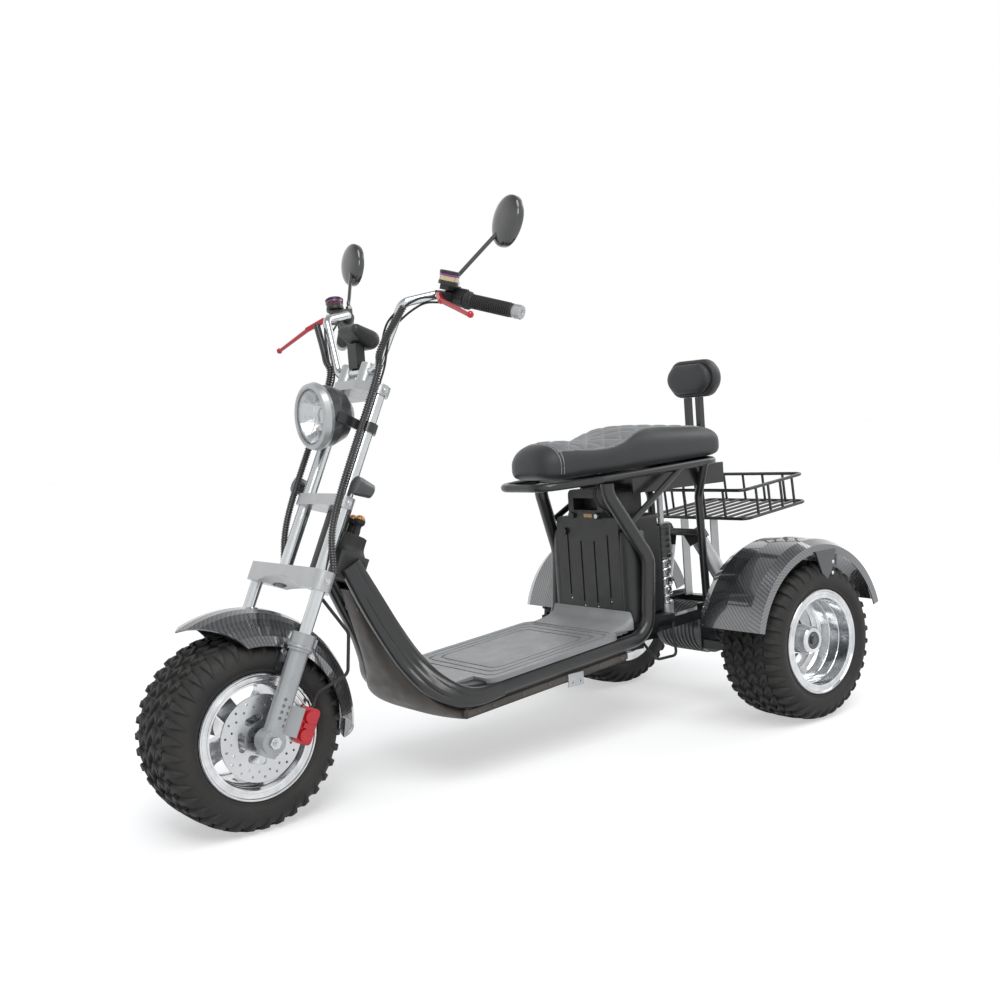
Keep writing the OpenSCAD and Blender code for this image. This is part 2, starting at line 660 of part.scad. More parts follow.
module fork_leg() {
  translate([0, leg_y, -34]) {
    cylinder(r = leg_r, h = slider_top);
    translate([0, 0, slider_top - 1]) cylinder(r = leg_r + 5, h = collar_h);
    translate([0, 0, slider_top + 8]) rotate_extrude() translate([leg_r + 4, 0]) circle(4);
  }
  across(foot_r, leg_y - leg_r + 1, leg_y + leg_r - 1);
  translate([-leg_r - 10, leg_y - 8, slider_top - 20]) cube([20, 16, collar_h - 20]);
}
module leg_bores() {
  translate([0, leg_y, 60]) cylinder(r = stanchion_r + fit, h = 300);
  across(axle_r + fit, 0, 300);
  for (i = [0:3], k = [-1, 1]) translate([7 * k, 0, foot_r + 18 + 14 * i + 7 * k])
    across(vent_r, leg_y + leg_r - 6, leg_y + leg_r + 1);
}
module fork_leg_left() color("#b9bcbd") whole() fork_frame() difference() {
  union() {
    fork_leg();
    translate([caliper_t + seat, leg_y - leg_r - 6, 20]) cube([-caliper_t, 10, 68]);
  }
  leg_bores();
}
module fork_leg_right() color("#b9bcbd") whole() fork_frame() mirror([0, 1, 0]) difference() {
  fork_leg();
  leg_bores();
}
module front_axle() color("#c9cccd") whole() translate([wheelbase, 0, axle_z]) {
  across(axle_r, -leg_y - leg_r - 9, leg_y + leg_r + 9);
  both_sides() across(13, front_hub_half + seat, leg_y - leg_r - seat);
  both_sides() across(14, leg_y + leg_r + seat, leg_y + leg_r + 7, $fn = 6);
}

// Front fender: a shell round the tyre from a beak ahead of it to a tip behind it
module fender_tip(at, slope, from) both_sides() rotate([0, -at, 0]) rotate([slope, 0, 0])
  translate([100, -0.5, from]) cube([250, 260, 200]);
module front_fender() color("#55585a") whole() {
  translate([wheelbase, 0, axle_z]) difference() {
    about_axle(62, 196) polygon(concat([for (p = ring_points(130, -66, 66, 12)) [p.x + 152, p.y]],
      [for (p = ring_points(126.5, 66, -66, 12)) [p.x + 152, p.y]]));
    fender_tip(62, 36, -200);
    fender_tip(196, -28, 0);
  }
  fork_frame() both_sides() {
    translate([-34, tab_y, 152]) cube([58, 4, 62]);
    translate([-16, tab_y + 3, 172]) cube([32, leg_y - leg_r - seat - tab_y - 3, 26]);
  }
}

// Caliper over the disc's rear edge, wider outside the rim than inside it
module brake_caliper() color("#c4161c") whole() fork_frame() difference() {
  union() {
    translate([caliper_t - 22, disc_y + 16, 52]) rotate([90, 0, 0]) linear_extrude(20) hull()
      for (t = [-12, 12], h = [-32, 32]) translate([t, h]) circle(10);
    for (h = [-21, 21]) translate([caliper_t - 22, 0, 52 + h]) across(15, disc_y + 10, disc_y + 25);
    translate([caliper_t - 34, disc_y + 10, 46]) cube([24, 12, 12]);
    intersection() {
      translate([caliper_t - 60, disc_y - 22, 10]) cube([60, 24, 84]);
      across(bead_r - barrel_t - 7, 0, 200);
    }
  }
  across(disc_d / 2 + 4, disc_y - disc_t / 2 - 2, disc_y + disc_t / 2 + 2);
}

// Route of the front brake hose in the fork's axes
front_hose = [[caliper_t - 22, 124, 94 + seat], [caliper_t - 22, 124, 130], [-150, 136, 190], [-120, 134, 280],
  [-20, 120, bridge_top - bridge_h - 3.4 - seat]];
module front_brake_hose() color("#141414") whole() fork_frame() bent_tube(front_hose, 20, 4);

// Headlight
lamp_s = clamp_top - 96;
lamp = fork_at([82, 0, lamp_s]);
lamp_r = 82;
bucket_r = 74;
module lamp_turn() translate(lamp) rotate([0, 90, 0]) rotate_extrude() children();
module headlight_bucket() color("#5b5d5e") whole() lamp_turn()
  polygon([[0, -108], [34, -104], [60, -82], [bucket_r - 1, -52], [bucket_r, -48], [bucket_r, -26], [70, -26], [68, -40], [57, -78], [32, -100],
    [0, -103]]);
module headlight_ring() color("#d8dada") whole() lamp_turn()
  polygon([[66, -25.7], [lamp_r - 4, -25.7], [lamp_r, -16], [lamp_r - 4, -2], [70, 2], [66, -2]]);
module headlight_lens() color("#dfe4e6") whole() lamp_turn()
  polygon([[0, 12], [40, 8], [66 - seat, -4], [66 - seat, -8], [40, 4], [0, 8]]);
module headlight_bracket() color("#303133") whole() fork_frame() both_sides() difference() {
  union() {
    translate([tube_t, tube_y, lamp_s]) cylinder(r = tube_r + 6, h = 24);
    translate([tube_t, bucket_r + seat, lamp_s]) cube([78, 6, 24]);
  }
  fork_hole(tube_t, tube_y, tube_r);
}
module turn_signals() color("#8c8f90") whole() fork_frame() both_sides() {
  translate([tube_t - 4, tube_y + 56, mid_s + 52]) rotate([0, 90, 0]) {
    translate([0, 0, -24]) cylinder(r1 = 17, r2 = 22, h = 34);
    translate([0, 0, 9]) cylinder(r = 22, h = 12);
  }
  translate([tube_t, 0, mid_s + 52]) across(6, tube_y + tube_r + seat, tube_y + 50);
}

// Handlebar, with local axes at each bar end: x forward, y up, z inwards along the grip
bar_path = [fork_at([riser_t, 90, riser_s]), fork_at([36, 180, riser_s + 146]), fork_at([-34, 215, riser_s + 198]),
  fork_at([-129, 385, riser_s + 179])];
module bar_end() along(bar_path[3], bar_path[2]) children();
module handlebar() color("#c9cccd") whole() {
  both_sides() bent_tube(concat([fork_at([riser_t, 0, riser_s])], bar_path), 30, bar_r);
}
module bar_ring(z, h, r) translate([0, 0, z]) difference() {
  cylinder(r = r, h = h);
  translate([0, 0, -1]) cylinder(r = bar_r + fit, h = h + 2);
}
module grips() color("#202122") whole() both_sides() bar_end() {
  bar_ring(0, 125, 17);
  translate([0, 0, -5]) cylinder(r = 15, h = 5);
}
module switch_pods() color("#1d1e20") whole() both_sides() bar_end() {
  bar_ring(126, 24, 20);
  translate([-10, 14, 126]) cube([20, 10, 24]);
}
module brake_masters() color("#222325") whole() both_sides() bar_end() {
  bar_ring(151, 24, 19);
  translate([14, -10, 151]) cube([40, 20, 27]);
  translate([-16, 14, 152]) cube([60, 12, 22]);
}
module reservoirs() color("#b9aebc") whole() both_sides() bar_end()
  translate([28, 26 + seat, 163]) rotate([-90, 0, 0]) cylinder(r = 22, h = 28);
module brake_levers() color("#c4161c") whole() both_sides() bar_end() {
  $fn = 16;
  hull() {
    translate([62.2, 0, 162]) sphere(8);
    translate([104, -9, 128]) sphere(7);
  }
  hull() {
    translate([99, -8, 131]) sphere(6);
    translate([172, -19, 16]) sphere(5);
  }
  hull() translate([176, -18, 7]) sphere(8);
}
mirror_at = fork_at([-67, 350, riser_s + 379]);
module mirror_frame() translate(mirror_at) rotate([0, 80, 0]) children();
module oval_ends(inset, from, to) {
  $fn = 32;
  translate([15, -5, from]) cylinder(r = 44 - inset, h = to - from);
  translate([-15, 5, from]) cylinder(r = 48 - inset, h = to - from);
}
module mirror_oval(inset, from, to) hull() oval_ends(inset, from, to);
module mirrors() color("#1b1c1e") whole() both_sides() {
  bar_end() bent_tube([[-9, 26 + seat, 163], [-9, 48, 163], [-35, 171, 90]], 8, 5);
  mirror_frame() difference() {
    hull() {
      oval_ends(0, -9, 2);
      oval_ends(17, 2, 17);
    }
    mirror_oval(5, -10, -5);
  }
}
module mirror_glass() color("#aab2b8") whole() both_sides() mirror_frame() mirror_oval(5 + seat, -8, -5 - seat);
module dash_pod() color("#2e2f31") whole() translate(fork_at([riser_t, 0, riser_s])) {
  $fn = 20;
  hull() both_sides() {
    translate([-27, 24, 78]) sphere(24);
    translate([13, 30, 103]) sphere(14);
  }
  translate([-12, -20, bar_r + seat]) cube([24, 40, 60]);
}
// Corrugated looms from the neck up the outside of the fork to the bars
loom_path = [[-40, 124, bridge_top + 2.6 + seat], [-2, 114, mid_s - 20], [4, 114, clamp_top + 20],
  [26, 132, riser_s + 36], [44, 206, riser_s + 130]];
module wiring_looms() color("#121212") whole() fork_frame() both_sides() bent_tube(loom_path, 30, 9);

// Wheels
module at_front_axle() translate([wheelbase, 0, axle_z]) children();
module front_tyre() color("#232323") whole() at_front_axle() tyre(front_tyre_w);
module front_rim() color("#d3d6d8") whole() at_front_axle() difference() {
  union() {
    barrel(front_tyre_w);
    across(hub_r, -front_hub_half, front_hub_half);
    translate([0, spoke_y, 0]) rotate([90, 0, 0]) linear_extrude(spoke_t) difference() {
      circle(bead_r - barrel_t / 2);
      for (i = [0:spoke_count - 1]) rotate(i * 360 / spoke_count - 54) hull() {
        translate([window_in, 0]) circle(8);
        for (a = [-1, 1]) rotate(a * window_angle) translate([window_out, 0]) circle(15);
      }
    }
  }
  across(axle_r + fit, -200, 200);
}
module brake_disc() color("#c4c7c9") whole() at_front_axle() difference() {
  union() {
    across(disc_d / 2, disc_y - disc_t / 2, disc_y + disc_t / 2);
    across(30, front_hub_half + seat, disc_y);
  }
  across(14, 0, 200);
  translate([0, disc_y + disc_t, 0]) rotate([90, 0, 0]) linear_extrude(2 * disc_t) {
    for (i = [0:spoke_count - 1]) rotate(i * 360 / spoke_count) hull()
      for (a = [-16, 16]) rotate(a) translate([disc_window_r, 0]) circle(9);
    for (i = [0:17], k = [0, 1]) rotate(i * 20 + k * 10) translate([disc_d / 2 - 24 + 13 * k, 0]) circle(3);
  }
}
module rear_tyre_left() color("#232323") whole() translate([0, wheel_y, axle_z]) tyre(rear_tyre_w);
module rear_tyre_right() color("#232323") whole() translate([0, -wheel_y, axle_z]) tyre(rear_tyre_w);
module rear_rim() translate([0, 0, axle_z]) difference() {
  face = dish_y + dish_t;
  union() {
    translate([0, wheel_y, 0]) barrel(rear_tyre_w);
    wheel_turn() polygon([[0, dish_y], [bead_r - 3, dish_y], [bead_r - 3, face + 16], [bead_r - 12, face + 6],
      [bead_r - 26, face], [hub_r + 24, face], [hub_r + 9, face + 8], [hub_r + 3, face + 26], [hub_r, hub_end_y - 4],
      [hub_r - 4, hub_end_y], [0, hub_end_y]]);
    across(stub_r, carrier_y - 8, dish_y + 1);
  }
  across(cap_r, hub_end_y - 10, hub_end_y + 1);
}
module half_shaft() translate([0, 0, axle_z]) {
  across(shaft_r, arm_y + 4, carrier_y - 8 - seat);
  across(boss_r - 12, arm_y + 4, arm_y + 40);
  across(stub_r, carrier_y - 40, carrier_y - 8 - seat);
}
module rear_rim_left() color("#d3d6d8") whole() rear_rim();
module rear_rim_right() color("#d3d6d8") whole() mirror([0, 1, 0]) rear_rim();
module half_shaft_left() color("#2c2d2f") whole() half_shaft();
module half_shaft_right() color("#2c2d2f") whole() mirror([0, 1, 0]) half_shaft();

main_frame();
belly_pan();
neck_cover();
footboard();
battery_bay();
battery_pack();
battery_lead();
seat_frame();
saddle();
backrest_posts();
backrest_pad();
basket();
basket_stays();
rear_carriage();
drive_unit();
wishbones();
wheel_carriers();
shock_bodies();
shock_springs();
rear_fender_left();
rear_fender_right();
side_bracket();
marker_lamps();
rear_brake_hose();
lower_bridge();
steering_stem();
mid_clamp();
top_clamp();
fork_tubes();
fork_stanchions();
fork_leg_left();
fork_leg_right();
front_axle();
front_fender();
brake_caliper();
front_brake_hose();
headlight_bucket();
headlight_ring();
headlight_lens();
headlight_bracket();
turn_signals();
handlebar();
grips();
brake_masters();
reservoirs();
brake_levers();
switch_pods();
mirrors();
mirror_glass();
dash_pod();
wiring_looms();
front_tyre();
front_rim();
brake_disc();
rear_tyre_left();
rear_rim_left();
half_shaft_left();
rear_tyre_right();
rear_rim_right();
half_shaft_right();
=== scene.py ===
import bpy
import bmesh
import json
import numpy as np
from math import acos, copysign, cos, degrees, exp, hypot, pi, radians, sin
from mathutils import Matrix, Vector


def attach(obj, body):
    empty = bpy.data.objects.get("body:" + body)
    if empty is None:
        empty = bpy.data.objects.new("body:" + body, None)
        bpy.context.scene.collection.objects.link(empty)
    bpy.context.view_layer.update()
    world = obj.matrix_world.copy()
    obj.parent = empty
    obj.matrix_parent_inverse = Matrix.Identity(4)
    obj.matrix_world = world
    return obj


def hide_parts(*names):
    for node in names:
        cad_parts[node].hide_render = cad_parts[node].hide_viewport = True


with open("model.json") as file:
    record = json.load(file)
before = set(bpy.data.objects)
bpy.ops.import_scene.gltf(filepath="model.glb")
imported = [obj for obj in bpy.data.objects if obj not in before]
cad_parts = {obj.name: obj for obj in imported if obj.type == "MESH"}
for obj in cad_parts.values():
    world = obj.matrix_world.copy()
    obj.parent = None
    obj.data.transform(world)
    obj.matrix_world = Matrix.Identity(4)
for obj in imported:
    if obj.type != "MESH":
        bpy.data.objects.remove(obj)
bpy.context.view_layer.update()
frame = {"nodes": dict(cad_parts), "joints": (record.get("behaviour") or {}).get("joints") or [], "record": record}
nodes = frame["nodes"]
joints = {j["name"]: j for j in frame["joints"]}
print("frame loaded,", len(nodes), "nodes")

frontAxle = Vector(joints["front_wheel_spin"]["pos_m"])
leftAxle = Vector(joints["rear_wheel_left_spin"]["pos_m"])
rightAxle = Vector(joints["rear_wheel_right_spin"]["pos_m"])
steerAxis = Vector(joints["steering_turn"]["axis"]).normalized()
rearX = leftAxle.x  # the part's own x counts from here
rakeForward = Vector((steerAxis.z, 0, -steerAxis.x))


def place(x, y, z):  # millimetres from the rear axle's line, as the part is measured
    return Vector((rearX + x / 1000, y / 1000, z / 1000))


def forkPlace(t, y, s):  # millimetres ahead of the front axle across the rake, left, and up the rake
    return frontAxle + rakeForward * (t / 1000) + Vector((0, y / 1000, 0)) + steerAxis * (s / 1000)


def sided(put, at, side):  # the place on the left, or its mirror image on the right
    return put(at[0], side * at[1], at[2])


# materials

def newMaterial(name):
    mat = bpy.data.materials.new(name)
    mat.use_nodes = True
    tree = mat.node_tree
    return mat, tree, tree.nodes["Principled BSDF"]


def setInputs(tree, target, values):
    # each value is a link or a constant
    for key, value in values.items():
        if isinstance(value, bpy.types.NodeSocket):
            tree.links.new(value, target.inputs[key])
        else:
            target.inputs[key].default_value = value


def node(tree, kind, sockets=None, **settings):
    n = tree.nodes.new(kind)
    for key, value in settings.items():
        setattr(n, key, value)
    setInputs(tree, n, sockets or {})
    return n


def math2(tree, op, a, b=0.0):
    return node(tree, "ShaderNodeMath", {0: a, 1: b}, operation=op).outputs[0]


def objectSpace(tree):
    return node(tree, "ShaderNodeTexCoord").outputs["Object"]


def noise(tree, where, scale, detail=4.0, roughness=0.55):
    return node(tree, "ShaderNodeTexNoise", {"Vector": where, "Scale": scale, "Detail": detail,
                                             "Roughness": roughness}).outputs["Fac"]


def ramp(tree, fac, low, high, a, b):
    n = node(tree, "ShaderNodeValToRGB", {"Fac": fac})
    for stop, at, color in zip(n.color_ramp.elements, (low, high), (a, b)):
        stop.position = at
        stop.color = (*color, 1)
    return n.outputs["Color"]


def drift(tree, fac, color, dark, light):
    # a colour that wanders between two shares of itself
    return ramp(tree, fac, 0.3, 0.7, *(tuple(c * share for c in color) for share in (dark, light)))


def spread(tree, fac, low, high):
    return node(tree, "ShaderNodeMapRange", {"Value": fac, "From Min": 0.3, "From Max": 0.7, "To Min": low,
                                             "To Max": high}).outputs["Result"]


def bump(tree, shader, height, strength, depth):
    n = node(tree, "ShaderNodeBump", {"Height": height, "Strength": strength, "Distance": depth})
    setInputs(tree, shader, {"Normal": n.outputs["Normal"]})


def mixColor(tree, fac, a, b):
    a, b = ((*v, 1) if isinstance(v, tuple) else v for v in (a, b))
    return node(tree, "ShaderNodeMix", {0: fac, 6: a, 7: b}, data_type="RGBA").outputs[2]


def finish(name, color, rough, metal=0.0, grain=220.0, vary=0.12, bumpDepth=0.00012, coat=0.0):
    # a surface whose colour and gloss drift a little, with a fine skin
    mat, tree, shader = newMaterial(name)
    where = objectSpace(tree)
    setInputs(tree, shader, {
        "Base Color": drift(tree, noise(tree, where, 9.0, 5.0), color, 1 - vary, 1 + vary),
        "Roughness": spread(tree, noise(tree, where, 34.0, 6.0), rough * 0.82, min(1, rough * 1.2)),
        "Metallic": metal, "Coat Weight": coat, "Coat Roughness": 0.06})
    bump(tree, shader, noise(tree, where, grain, 3.0), 0.35, bumpDepth)
    return mat


def axleRadius(tree, axle):
    # ahead of the axle, across, above it, and the distance from it
    x, y, z = node(tree, "ShaderNodeSeparateXYZ", {0: objectSpace(tree)}).outputs
    dx = math2(tree, "SUBTRACT", x, axle.x)
    dz = math2(tree, "SUBTRACT", z, axle.z)
    r = math2(tree, "SQRT", math2(tree, "ADD", math2(tree, "MULTIPLY", dx, dx), math2(tree, "MULTIPLY", dz, dz)))
    return dx, y, dz, r


def turnedAlloy(name, axle, ringsPerMetre=5200.0):
    # polished alloy with the fine rings left by turning
    mat, tree, shader = newMaterial(name)
    dx, y, dz, r = axleRadius(tree, axle)
    rings = math2(tree, "SINE", math2(tree, "MULTIPLY", math2(tree, "ADD", r, y), ringsPerMetre))
    cloud = noise(tree, objectSpace(tree), 26.0, 6.0)
    setInputs(tree, shader, {
        "Base Color": ramp(tree, cloud, 0.3, 0.75, (0.52, 0.53, 0.54), (0.78, 0.79, 0.8)),
        "Roughness": spread(tree, cloud, 0.09, 0.2), "Metallic": 1.0})
    bump(tree, shader, rings, 0.05, 0.00005)
    return mat


def wovenGloss(name, axle, tow, wrapRadius=0.28):
    # a lacquered two-by-two weave that runs round the wheel's axle
    mat, tree, shader = newMaterial(name)
    dx, y, dz, r = axleRadius(tree, axle)
    around = math2(tree, "MULTIPLY", math2(tree, "ARCTAN2", dz, dx), wrapRadius)
    u, v = (math2(tree, "DIVIDE", math2(tree, "ADD", way, 10.0), tow) for way in (around, math2(tree, "ADD", y, r)))
    step = math2(tree, "ADD", math2(tree, "FLOOR", u), math2(tree, "FLOOR", v))
    over = math2(tree, "LESS_THAN", math2(tree, "MODULO", step, 4.0), 2.0)
    alongU, alongV = (math2(tree, "PINGPONG", math2(tree, "FRACT", way), 0.5) for way in (u, v))
    crown = node(tree, "ShaderNodeMix", {0: over, 2: alongV, 3: alongU}).outputs[0]
    # the tows that run one way are painted lighter than those that run across them: painted sheen for the way each
    # tow catches the light
    towPaintedSheen = mixColor(tree, over, (0.1, 0.104, 0.11), (0.25, 0.257, 0.265))
    # the tow edges are painted darker than their middles: painted shade where each tow rounds down beside the next
    edge = math2(tree, "MULTIPLY", crown, 2.0)
    setInputs(tree, shader, {
        "Base Color": mixColor(tree, edge, (0.05, 0.052, 0.055), towPaintedSheen), "Metallic": 0.8, "Roughness": 0.24,
        "Coat Weight": 1.0, "Coat IOR": 1.9, "Coat Roughness": 0.03})
    bump(tree, shader, crown, 0.12, 0.0002)
    return mat


def leather(name, color, pore):
    mat, tree, shader = newMaterial(name)
    where = objectSpace(tree)
    cells = node(tree, "ShaderNodeTexVoronoi", {"Scale": pore, "Vector": where}, feature="DISTANCE_TO_EDGE")
    broad = noise(tree, where, 14.0, 5.0)
    setInputs(tree, shader, {"Base Color": drift(tree, broad, color, 0.8, 1.25),
                             "Roughness": spread(tree, broad, 0.42, 0.56), "Sheen Weight": 0.15})
    bump(tree, shader, math2(tree, "MINIMUM", cells.outputs["Distance"], 0.25), 0.5, 0.0006)
    return mat


def perforatedTop(name, color, pitch):
    # grey seat cloth with a regular field of pinholes
    mat, tree, shader = newMaterial(name)
    where = objectSpace(tree)
    cell = []
    for out in node(tree, "ShaderNodeSeparateXYZ", {0: where}).outputs[:2]:
        f = math2(tree, "FRACT", math2(tree, "DIVIDE", math2(tree, "ADD", out, 5.0), pitch))
        d = math2(tree, "SUBTRACT", f, 0.5)
        cell.append(math2(tree, "MULTIPLY", d, d))
    hole = math2(tree, "LESS_THAN", math2(tree, "ADD", *cell), 0.05)
    base = drift(tree, noise(tree, where, 30.0, 5.0), color, 0.82, 1.2)
    # the pinholes are painted near black: painted shade inside each hole, which the bump also sinks
    setInputs(tree, shader, {"Base Color": mixColor(tree, hole, base, (0.03, 0.03, 0.032)), "Roughness": 0.62,
                             "Sheen Weight": 0.3})
    bump(tree, shader, math2(tree, "SUBTRACT", 1.0, hole), 0.5, 0.0005)
    return mat


def clearGlass(name, tint, rough):
    mat, tree, shader = newMaterial(name)
    gloss = spread(tree, noise(tree, objectSpace(tree), 60.0), rough * 0.7, rough * 1.4)
    setInputs(tree, shader, {"Base Color": (*tint, 1), "Transmission Weight": 0.92, "IOR": 1.45, "Roughness": gloss})
    return mat


def tyreRubber(name):
    mat, tree, shader = newMaterial(name)
    where = objectSpace(tree)
    dust = noise(tree, where, 60.0, 8.0, 0.7)
    base = ramp(tree, noise(tree, where, 11.0, 6.0), 0.3, 0.72, (0.012, 0.012, 0.013), (0.03, 0.029, 0.028))
    setInputs(tree, shader, {
        "Base Color": mixColor(tree, spread(tree, dust, 0.0, 0.35), base, (0.07, 0.065, 0.058)),
        "Roughness": spread(tree, dust, 0.55, 0.8), "Specular IOR Level": 0.35})
    bump(tree, shader, noise(tree, where, 420.0, 4.0), 0.35, 0.0004)
    return mat


looks = {
    "frame_black": finish("satinBlack", (0.0125, 0.013, 0.014), 0.34, coat=0.35),
    "silver_paint": finish("silverPaint", (0.46, 0.472, 0.478), 0.34, metal=0.55, coat=0.3, vary=0.07),
    "leg_grey": finish("legPaint", (0.36, 0.372, 0.38), 0.32, metal=0.5, coat=0.35, vary=0.07),
    "chrome": finish("brightTube", (0.62, 0.64, 0.65), 0.16, metal=0.95, vary=0.06, bumpDepth=0.00003),
    "steel": finish("brushedSteel", (0.56, 0.57, 0.58), 0.26, metal=1.0, vary=0.08),
    "galvanised": finish("zincPlate", (0.48, 0.49, 0.5), 0.42, metal=0.8, grain=90.0, vary=0.16),
    "tyre_rubber": tyreRubber("tyreRubber"),
    "rubber": finish("softRubber", (0.016, 0.016, 0.017), 0.6, vary=0.2),
    # the fairing panel's own paint is near black; the brown tint in this colour is a painted reflection of the
    # brownish floor
    "panel_brown": finish("fairingPanelPaintedReflection", (0.082, 0.072, 0.064), 0.46, vary=0.34, grain=150.0),
    "dark_plastic": finish("darkPlastic", (0.018, 0.0185, 0.0195), 0.42, vary=0.18, grain=500.0),
    "board_grey": finish("boardRubber", (0.29, 0.298, 0.305), 0.42, vary=0.14, grain=420.0),
    "saddle_cover": leather("saddleHide", (0.024, 0.025, 0.027), 620.0),
    "red_anodised": finish("redAlloy", (0.5, 0.006, 0.016), 0.28, metal=0.3, coat=0.6, vary=0.1),
    "lamp_grey": finish("lampGrey", (0.075, 0.079, 0.084), 0.36, metal=0.3, coat=0.3),
    "lens_clear": clearGlass("lampGlass", (0.96, 0.97, 0.98), 0.03),
    "amber": finish("amberLens", (0.62, 0.24, 0.02), 0.18, coat=0.8, vary=0.2),
    "fluid_clear": clearGlass("fluidCup", (0.62, 0.5, 0.3), 0.08),
    "mirror": finish("mirrorFace", (0.78, 0.8, 0.82), 0.03, metal=1.0, vary=0.02, bumpDepth=0.00001),
}
shellGloss = finish("shellGloss", (0.03, 0.031, 0.033), 0.22, vary=0.12, grain=60.0, bumpDepth=0.00002, coat=1.0)
loomPlastic = finish("loomPlastic", (0.013, 0.013, 0.014), 0.26, vary=0.2, coat=0.4)
purpleAlloy = finish("purpleAlloy", (0.26, 0.07, 0.27), 0.24, metal=0.7, coat=0.4)
readoutGlow = finish("readoutAmber", (0.66, 0.36, 0.08), 0.3, vary=0.25, grain=900.0, coat=0.6)
weaveTow = 0.0029
weave = {
    "front_fender": wovenGloss("frontWeave", frontAxle, weaveTow),
    "rear_fender_left": wovenGloss("rearWeave", leftAxle, weaveTow),
}
weave["rear_fender_right"] = weave["rear_fender_left"]
turned = {"front_rim": turnedAlloy("frontAlloy", frontAxle), "rear_rim_left": turnedAlloy("rearAlloy", leftAxle)}
turned["rear_rim_right"] = turned["rear_rim_left"]
slotOf = {row["node"]: row["material_slot"] for row in frame["record"]["subparts"]}


def dress(obj, mat):
    obj.data.materials.clear()
    obj.data.materials.append(mat)


for name, obj in nodes.items():
    dress(obj, weave.get(name) or turned.get(name) or looks[slotOf[name]])
print("finishes set")

# mesh helpers

def newMesh(verts, faces=()):
    mesh = bpy.data.meshes.new("shape")
    mesh.from_pydata([tuple(v) for v in verts], [], faces)
    return mesh


def joined(meshes, target=None, change=None):
    # the meshes as one, after the change if there is one
    bm = bmesh.new()
    for m in meshes:
        bm.from_mesh(m)
    if change:
        change(bm)
    mesh = target or bpy.data.meshes.new("shape")
    bm.to_mesh(mesh)
    bm.free()
    return mesh


def turnOutward(bm):
    bmesh.ops.recalc_face_normals(bm, faces=bm.faces)


def meshOf(verts, faces, outward=True):
    def weld(bm):
        bmesh.ops.remove_doubles(bm, verts=bm.verts, dist=1e-6)
        if outward:
            turnOutward(bm)
    mesh = newMesh(verts, faces)
    return joined([mesh], mesh, weld)


def addObject(name, data):
    obj = bpy.data.objects.new(name, data)
    bpy.context.collection.objects.link(obj)
    return obj


def addPiece(name, shape, body, slot, creaseDeg=35.0, mat=None):
    # shape is one mesh or a list of them
    mesh = joined(shape) if isinstance(shape, list) else shape
    mesh.name = name
    obj = addObject(name, mesh)
    dress(obj, mat or looks[slot])
    mesh.shade_smooth()
    mesh.set_sharp_from_angle(angle=radians(creaseDeg))
    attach(obj, body)
    return obj


def smoothPath(points, steps):
    # an even curve through the points
    pts = [Vector(p) for p in points]
    pts = [pts[0] * 2 - pts[1]] + pts + [pts[-1] * 2 - pts[-2]]
    out = []
    for i in range(1, len(pts) - 2):
        a, b, c, d = pts[i - 1:i + 3]
        for k in range(steps):
            t = k / steps
            out.append(0.5 * (2 * b + (c - a) * t + (2 * a - 5 * b + 4 * c - d) * t * t
                              + (3 * b - a - 3 * c + d) * t * t * t))
    out.append(pts[-2])
    return out


def angles(count):
    return [2 * pi * k / count for k in range(count)]


def power(v, e):
    return copysign(abs(v) ** e, v)


def squircle(count, e):
    # points round a square with soft corners, the softer the nearer e is to 1
    return [(power(cos(a), e), power(sin(a), e)) for a in angles(count)]


def ringFaces(count, sides, wrap=False):
    # quads between rings that follow each other; wrap joins the last ring to the first
    return [(i * sides + k, i * sides + (k + 1) % sides, (i + 1) % count * sides + (k + 1) % sides,
             (i + 1) % count * sides + k)
            for i in range(count if wrap else count - 1) for k in range(sides)]


def endFaces(count, sides):
    return [tuple(range(sides)), tuple((count - 1) * sides + k for k in range(sides))]


def loft(rings, caps=True):
    count, sides = len(rings), len(rings[0])
    faces = ringFaces(count, sides) + (endFaces(count, sides) if caps else [])
    return meshOf([v for ring in rings for v in ring], faces)


def circle(centre, ex, ey, radius, sides):
    return [centre + (ex * cos(a) + ey * sin(a)) * radius for a in angles(sides)]


def sweepMesh(path, radii, sides=14):
    # a round tube along the path, its frame carried on without twist
    last = len(path) - 1
    if isinstance(radii, float):
        radii = [radii] * len(path)
    tangents = [(path[min(i + 1, last)] - path[max(i - 1, 0)]).normalized() for i in range(len(path))]
    normal = tangents[0].orthogonal().normalized()
    rings = []
    for at, t, radius in zip(path, tangents, radii):
        normal = (normal - t * normal.dot(t)).normalized()
        rings.append(circle(at, normal, t.cross(normal), radius, sides))
    return loft(rings)


def turnAlong(start, direction, profile, sides=40, caps=True):
    # a section of (along, radius) pairs in millimetres turned round a line
    d = direction.normalized()
    ex = d.orthogonal().normalized()
    ey = d.cross(ex)
    return loft([circle(start + d * (s / 1000), ex, ey, r / 1000, sides) for s, r in profile], caps)


def boxMesh(put, xs, ys, zs):
    # a block between two values on each axis, put in place by the function
    return meshOf([put(x, y, z) for x in xs for y in ys for z in zs],
                  [(0, 1, 3, 2), (4, 6, 7, 5), (0, 4, 5, 1), (2, 3, 7, 6), (0, 2, 6, 4), (1, 5, 7, 3)])


# node trees

def newTree(name, inputs):
    tree = bpy.data.node_groups.new(name, "GeometryNodeTree")
    tree.interface.new_socket("Geometry", in_out="INPUT", socket_type="NodeSocketGeometry")
    for label, kind in inputs.items():
        tree.interface.new_socket(label, in_out="INPUT", socket_type="NodeSocket" + kind)
    tree.interface.new_socket("Geometry", in_out="OUTPUT", socket_type="NodeSocketGeometry")
    return tree, tree.nodes.new("NodeGroupInput").outputs, tree.nodes.new("NodeGroupOutput")


def closeTree(tree, geometry, material, groupOut):
    realize = node(tree, "GeometryNodeRealizeInstances", {0: geometry})
    paint = node(tree, "GeometryNodeSetMaterial", {"Geometry": realize.outputs[0], "Material": material})
    setInputs(tree, groupOut, {0: paint.outputs[0]})
    return tree


